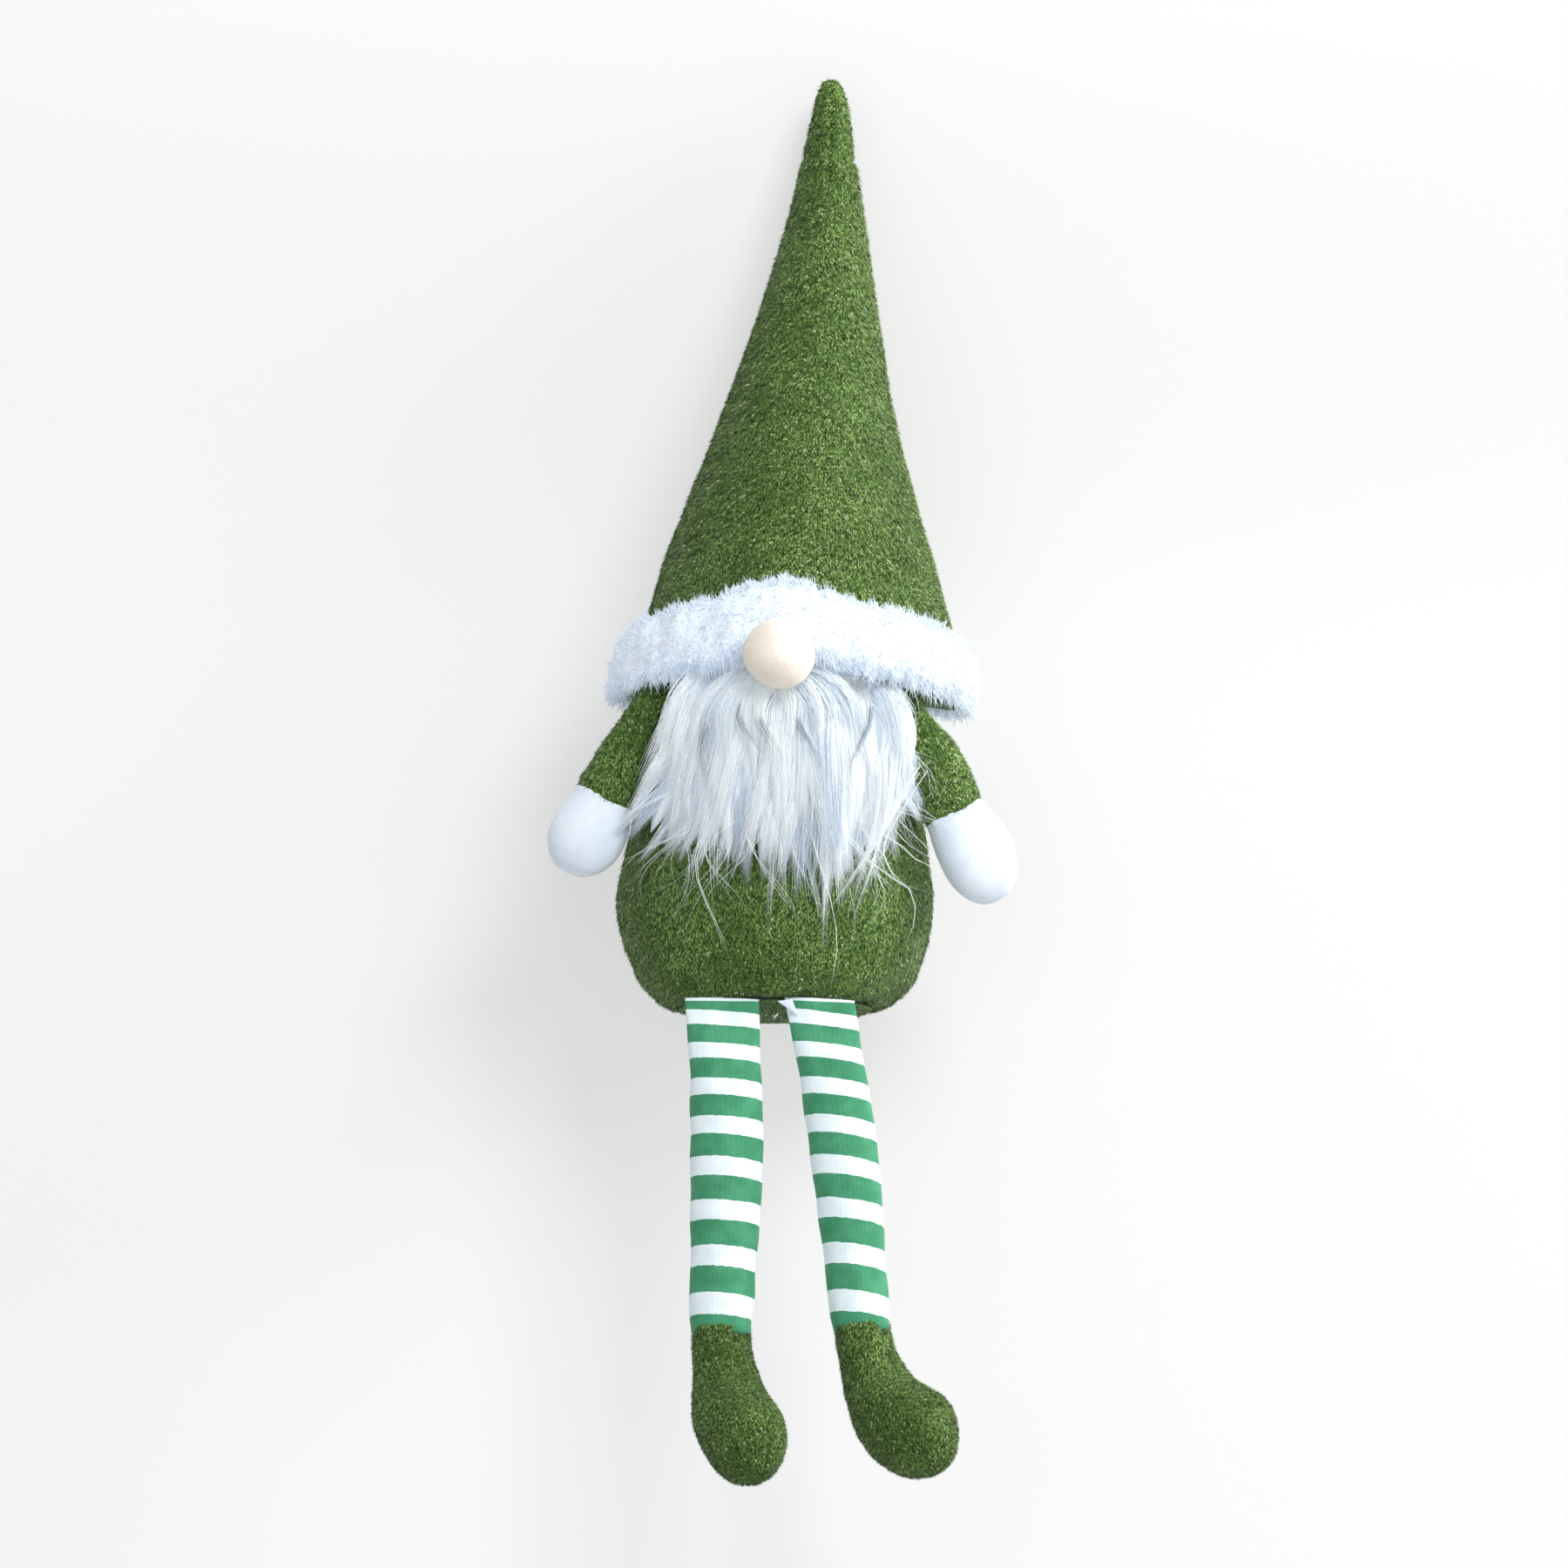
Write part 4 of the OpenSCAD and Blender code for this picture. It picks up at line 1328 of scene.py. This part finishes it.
def mitten_creases(places):
    """Gathers below the cuff, the seam round the mitten and soft lumps of stuffing."""
    gathers = ripple(places * (1, 1, 0.3), 2.2, 73) * 0.18 * np.exp((places[:, 2] + CUFF) / 4)
    seam = dent(places[:, 1], 0.5) * 0.25 * (np.abs(places[:, 0]) > 7)
    return ripple(places, 10, 72) * 0.25 + gathers - seam


def make_arms():
    sleeve = lofted("sleeve_form", 56, np.linspace(SLEEVE[0][0], SLEEVE[-1][0], 44), limb(SLEEVE), PLUSH)
    stuff(sleeve, lambda p: np.maximum(p[:, 2] < -CUFF + 1, p[:, 2] > -2), cap=0.8)
    press(sleeve, lambda p: ripple(p, 8, 71) * 0.35)
    mitten = lofted("mitten_form", 64, np.linspace(MITTEN[0][0], MITTEN[-1][0], 52), limb(MITTEN), FLEECE)
    stuff(mitten, lambda p: (p[:, 2] > -CUFF - 0.5) * 1.0, cap=0.8)
    press(mitten, mitten_creases)
    for name in SIDES:
        turn = arm_turn(name)
        body = f"{name}_arm"
        cover = stretch_arm(copied(sleeve, f"{name}_sleeve_plush", Matrix.Identity(4)), name)
        hand = stretch_arm(copied(mitten, f"{name}_mitten_fleece", Matrix.Identity(4)), name)
        cover.data.transform(turn)
        hand.data.transform(turn)
        way = np.array(turn.to_3x3() @ Vector((0, 0, -1)))
        pile = nap(f"{name}_sleeve_nap", cover, 4800, 1.7, 0.36, 0.9, 75 + len(name), one_way(way),
                   SLEEVE_TONES[name])
        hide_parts(f"{name}_sleeve")
        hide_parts(f"{name}_mitten")
        for piece, slot in ((cover, "green_plush"), (pile, "green_plush"), (hand, "white_fleece")):
            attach(piece, body)
    for form in (sleeve, mitten):
        bpy.data.objects.remove(form)


# ---------------------------------------------------------------- legs and boots

HIP_TOP = -1.6
LEG_END = 116.5
# Distance below the hip seam, sideways bow, half width, half thickness, squareness
LEG = [
    (HIP_TOP, 0, 12.9, 0.9, 3.2),
    (1.5, 0, 12.9, 1.4, 3.0),
    (8, 0.2, 12.8, 2.8, 2.6),
    (16, 0.6, 12.7, 4.9, 2.4),
    (30, 1.2, 12.6, 7.2, 2.2),
    (50, 1.4, 12.8, 8.0, 2.1),
    (75, 1.0, 12.5, 8.0, 2.1),
    (95, 0.2, 11.4, 8.0, 2.1),
    (112, -0.3, 11.1, 8.3, 2.1),
    (LEG_END, -0.3, 10.6, 8.0, 2.1),
]
FIRST_STRIPE = 4.7
STRIPE_PITCH = 11.6
STRIPE_STRETCH = 0.40
STRIPE_TILT = 0.18
# How the knit was sewn on: how far the stripes drop to the gnome's left, and the leg's width
STRIPE_SLOPE = {"right": 0.07, "left": 0.26}
LEG_WIDTH = {"right": 1.0, "left": 0.93}
# How much lower the hem was sewn towards the gnome's left
HEM_SLOPE = {"right": 0.01, "left": 0.17}
BOOT_WIDTH = {"right": 0.95, "left": 0.93}
# How far the foot stands to the gnome's left of its ankle
BOOT_LEAN = {"right": 1.2, "left": 2.3}


def leg_point(angle, level):
    bow, half_w, half_t, power = smooth_curve(LEG, level)
    x, y = oval(angle, half_w, half_t, power)
    wave = 0.5 * np.sin(x * 0.42 + 0.8) * np.clip(1 - (level - HIP_TOP) / 9, 0, 1)
    return np.stack([bow + x, y + wave, -level], axis=1)


def stripe_course(places, slope):
    """Counts the stripes down the leg: the knit is stretched longer towards the ankle."""
    at = -HIP_TOP - places[:, 2] - places[:, 0] * slope - places[:, 1] * STRIPE_TILT - FIRST_STRIPE
    root = np.sqrt(np.maximum(STRIPE_PITCH ** 2 + 4 * STRIPE_STRETCH * at, 1))
    return (root - STRIPE_PITCH) / (2 * STRIPE_STRETCH)


def turn_to(origin, across, up):
    """From axes at zero to ones at the origin, in millimetres, with these ways to the right and up."""
    turn = Matrix((across, up.cross(across), up)).transposed().to_4x4()
    return Matrix.Translation(origin * MM) @ turn


def leg_turn(name):
    """From a leg that hangs straight down from its hip to its place."""
    hip, knee = joint_at(f"{name}_hip_swing"), joint_at(f"{name}_hip_splay")
    ankle = joint_at(f"{name}_ankle_flex")
    up = Vector(knee - ankle).normalized()
    across = Vector((1, 0, 0))
    across = (across - up * across.dot(up)).normalized()
    top = Vector(knee) + up * Vector(hip - knee).length
    return turn_to(top, across, up)


BOOT_TOP = 8.2
# The foot's middle line below the ankle: place along it, forward, down, and the section's lean in degrees,
# half width and half height
FOOT = [
    (0.0, 0, -BOOT_TOP, 0, 10.3, 8.2),
    (0.5, 0, -BOOT_TOP + 0.8, 0, 11.0, 8.9),
    (1, 0, -2, 0, 11.2, 9.2),
    (2, 0.2, 6, 2, 11.4, 10.2),
    (3, 1.6, 15, 11, 13.0, 13.2),
    (4, 5.0, 22.5, 28, 14.2, 15.2),
    (5, 10.5, 29.5, 48, 14.4, 16.2),
    (6, 18, 34, 62, 13.1, 15.4),
    (7, 25, 37, 70, 9.6, 11.6),
    (7.6, 28.0, 38.1, 73, 6.1, 7.4),
    (8, 29.0, 38.6, 74, 3.4, 4.0),
    (8.15, 29.3, 38.7, 74, 1.1, 1.3),
]


def boot_point(angle, level):
    forward, down, lean, half_w, half_h = smooth_curve(FOOT, level)
    lean = np.radians(lean)
    x, y = oval(angle, half_w, half_h, 2.05)
    return np.stack([x, -forward + y * np.cos(lean), -down - y * np.sin(lean)], axis=1)


def boot_turn(name):
    """From a boot whose toe points to -Y to its place on the leg."""
    ankle = Vector(joint_at(f"{name}_ankle_flex"))
    up = Vector(joint_at(f"{name}_hip_splay") - joint_at(f"{name}_ankle_flex")).normalized()
    across = -Vector(JOINTS[f"{name}_ankle_flex"]["axis"]).normalized()
    return turn_to(ankle, across, up)


def boot_seam(places):
    """1 on the seam down the middle of the boot."""
    return dent(places[:, 0], 0.7) * (places[:, 2] < BOOT_TOP - 1)


def make_legs():
    levels = np.concatenate([np.linspace(HIP_TOP, 10, 12), np.linspace(11.5, LEG_END, 78)])
    tube = lofted("leg_form", 64, levels, leg_point, KNIT,
                  attributes={"around": lambda angle, level: np.abs(angle) / math.pi})
    stuff(tube, lambda p: np.maximum(p[:, 2] > -9, p[:, 2] < -LEG_END + 2) * 1.0, cap=0.7)
    press(tube, lambda p: ripple(p * (0.4, 1, 1), 6, 81) * 0.22 + ripple(p, 16, 82) * 0.25)
    levels = np.concatenate([np.linspace(0, 1, 4), np.linspace(1.1, 7.3, 66),
                             [7.45, 7.6, 7.75, 7.9, 8.0, 8.08, 8.15]])
    boot = lofted("boot_form", 72, levels, boot_point, PLUSH)
    stuff(boot, lambda p: np.maximum(boot_seam(p), p[:, 2] > 4), cap=1.0)
    press(boot, lambda p: ripple(p, 9, 83) * 0.4 - boot_seam(p) * 0.8
          + ripple(p * (0.3, 1, 1), 2.4, 84) * 0.25 * np.exp(-np.abs(p[:, 0]) / 3.5))
    for name in SIDES:
        turn, foot_turn = leg_turn(name), boot_turn(name)
        cover = copied(tube, f"{name}_striped_stocking", Matrix.Diagonal((LEG_WIDTH[name], 1, 1, 1)))
        places = points_of(cover.data)
        places[:, 2] -= places[:, 0] * HEM_SLOPE[name] * np.clip(1 + places[:, 2] / 30, 0, 1)
        set_points(cover.data, places)
        below_hem = -places[:, 2] - HIP_TOP - places[:, 0] * HEM_SLOPE[name]
        keep_values(cover, stripe=stripe_course(places, STRIPE_SLOPE[name]), below_hem=below_hem)
        cover.data.transform(turn)
        narrowed = foot_turn @ Matrix.Diagonal((BOOT_WIDTH[name], 1, 1, 1))
        shoe = outward(copied(boot, f"{name}_boot_plush", narrowed))
        places = points_of(shoe.data)
        below = joint_at(f"{name}_ankle_flex")[2] - places[:, 2]
        places[:, 0] += BOOT_LEAN[name] * np.clip(below / 20, 0, 1)
        set_points(shoe.data, places)
        leg_fill = filling(cover, f"{name}_leg_fill", 0.9)
        boot_fill = filling(shoe, f"{name}_boot_fill")

        def comb(places):
            """The pile lies down the boot, and more towards the toe the lower it is."""
            low = moved(places, foot_turn.inverted())[:, 2]
            sway, forward = 0.35 * np.sin(low * 0.2), -np.clip(-low / 30, 0, 1.4)
            way = np.stack([sway, forward, -np.ones(len(low))], axis=1)
            return way @ np.array(foot_turn.to_3x3()).T

        def upper_edge(places):
            local = moved(places, foot_turn.inverted())
            return np.exp(-np.abs(local[:, 2] - BOOT_TOP + 0.4) / 0.5)

        up = np.array(foot_turn.to_3x3() @ Vector((0, 0, 1)))
        pile = nap(f"{name}_boot_nap", shoe, 15000, 1.5, 0.31, 0.9, 86 + len(name), comb,
                   (8, 6, 3, 1.5, 0.8), clump=0.8)
        edge = nap(f"{name}_boot_edge_nap", shoe, 420, 1.5, 0.5, 0.8, 96 + len(name), one_way(up),
                   (5, 6, 2, 0.6, 0), density=upper_edge)
        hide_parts(f"{name}_leg_hem", f"{name}_stocking")
        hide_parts(f"{name}_boot_inner_panel", f"{name}_boot_outer_panel")
        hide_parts(f"{name}_leg_stuffing")
        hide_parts(f"{name}_boot_stuffing")
        down = turn.to_3x3() @ Vector((0, 0, -1))
        hip = Vector(joint_at(f"{name}_hip_splay")) * MM
        for piece in (cover, leg_fill):
            hip - down * 8 * MM
            hip + down * 8 * MM
            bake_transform(piece)
        ankle = Vector(joint_at(f"{name}_ankle_flex")) * MM
        for piece in (shoe, boot_fill, pile, edge):
            ankle - down * 8 * MM
            ankle + down * 9 * MM
            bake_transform(piece)
    for form in (tube, boot):
        bpy.data.objects.remove(form)


def make_hem_corner():
    """The left leg's white hem turned out at its inner corner, and loose ends of thread on the base."""
    corner_at = joint_at("left_hip_swing") + (-LEG[0][2] * LEG_WIDTH["left"], 0, 0)
    levels = np.linspace(0, 1, 9)

    def flap(angle, level):
        wide = 0.15 + 2.5 * np.clip(level, 0, 0.97)
        x = 1.4 - 4.6 * level + np.cos(angle) * wide
        y = -2.4 - 1.2 * level + np.sin(angle) * 0.35 * (0.4 + level * (1.02 - level))
        z = -4.4 + 5.2 * level + np.cos(angle) * wide * 0.12
        return corner_at + np.stack([x, y, z], axis=1)

    corner = lofted("left_hem_corner", 16, levels, flap, FLEECE)
    thread = np.array([
        [(-7.6, -4.2, -4.6), (-6.8, -4.9, -5.2), (-6.2, -4.7, -4.4), (-5.4, -4.9, -4.9)],
        [(-5.6, -4.4, -4.0), (-6.1, -4.9, -4.8), (-6.9, -4.9, -5.9), (-7.3, -4.6, -6.8)],
    ])
    loose = strands("loose_thread", thread + corner_at, 0.5, [WHITE_THREAD], np.zeros(2, int))
    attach(loose, "torso")
    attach(corner, "left_hip")


# ---------------------------------------------------------------- hidden nodes and stage


def finish_hidden():
    """Nodes that stay as they are get the finish of what they are."""
    finishes = {"stuffing": FILL, "backing": BACKING, "pellet_bag": BACKING, "pellet_fill": PELLETS,
                "shoulder_tab": PLUSH}
    for name, node in frame["nodes"].items():
        for ending, material in finishes.items():
            if name.endswith(ending):
                node.data.materials.clear()
                node.data.materials.append(material)


WALL_SIZE = 1.4
# The wall's distance behind the middle of the figure by height: the hat leans back to it
WALL_PROFILE = [(-700, 66), (150, 66), (190, 62), (340, 26), (400, 20), (900, 20)]
FLOOR_Z = -0.9
FLOOR_SIZE = 8.0
WALL_GLOW = 0.48
WALL_PAINT = 0.42
FLOOR_PAINT = 0.6
WORLD_STRENGTH = 0.48


def stage_material(name, glow, paint):
    """Pale paint, clear from behind. A glow on it keeps shadows soft."""
    finish = Finish(name, Specular_IOR_Level=0.0, Roughness=1.0, Emission_Color=(1, 1, 1, 1),
                    Emission_Strength=glow)
    finish.colour((paint, paint, paint))
    clear = finish.node("ShaderNodeBsdfTransparent")
    behind = finish.node("ShaderNodeNewGeometry").value("Backfacing")
    painted = Value(finish, finish.shader.outputs[0])
    shown = finish.node("ShaderNodeMixShader", None, behind, painted, clear.value(0))
    finish.feed(finish.tree.nodes["Material Output"].inputs["Surface"], shown.value(0))
    return finish.material


def stage_plane(name, size, turn, material, rows=1):
    bm = bmesh.new()
    bmesh.ops.create_grid(bm, x_segments=rows, y_segments=rows, size=size / 2)
    bmesh.ops.transform(bm, verts=bm.verts, matrix=turn)
    return link(mesh_from(bm, name), name, material)


def make_stage():
    upright = Matrix.Translation((0, 0, VIEW_CENTRE[2] * MM)) @ Matrix.Rotation(math.pi / 2, 4, "X")
    paint = stage_material("pale_wall", WALL_GLOW, WALL_PAINT)
    wall = stage_plane("wall", WALL_SIZE, upright, paint, rows=70)
    places = points_of(wall.data)
    heights, gaps = np.transpose(WALL_PROFILE)
    soften = [np.interp(places[:, 2] + shift, heights, gaps) for shift in (-30, -15, 0, 15, 30)]
    places[:, 1] = np.mean(soften, axis=0)
    set_points(wall.data, places)
    level = Matrix.Translation((0, 0, FLOOR_Z))
    floor = stage_plane("floor", FLOOR_SIZE, level, stage_material("pale_floor", 0, FLOOR_PAINT))


def area_light(name, place, aim, size, power, tint=(1, 1, 1)):
    data = bpy.data.lights.new(name, "AREA")
    data.shape = "SQUARE"
    data.size = size
    data.energy = power
    data.color = tint
    light = bpy.data.objects.new(name, data)
    light.location = place
    light.rotation_euler = (Vector(aim) - Vector(place)).to_track_quat("-Z", "Y").to_euler()
    bpy.context.scene.collection.objects.link(light)


def make_lights():
    aim = Vector(VIEW_CENTRE) * MM
    area_light("key", (1.2, -2.6, 1.8), aim, 1.3, 64)
    area_light("side", (2.7, -0.5, 1.5), aim, 1.4, 84, (1, 0.99, 0.96))
    area_light("fill", (-1.0, -2.8, 0.3), aim, 1.8, 7, (0.95, 0.97, 1))
    world = bpy.data.worlds.new("studio")
    bpy.context.scene.world = world
    world.use_nodes = True
    background = world.node_tree.nodes["Background"]
    background.inputs["Color"].default_value = (0.97, 0.985, 1.0, 1)
    background.inputs["Strength"].default_value = WORLD_STRENGTH
    bpy.context.scene.view_settings.view_transform = "Standard"


make_body()
make_hat()
make_band()
make_beard()
make_nose()
make_arms()
make_legs()
make_hem_corner()
finish_hidden()
make_stage()
make_lights()
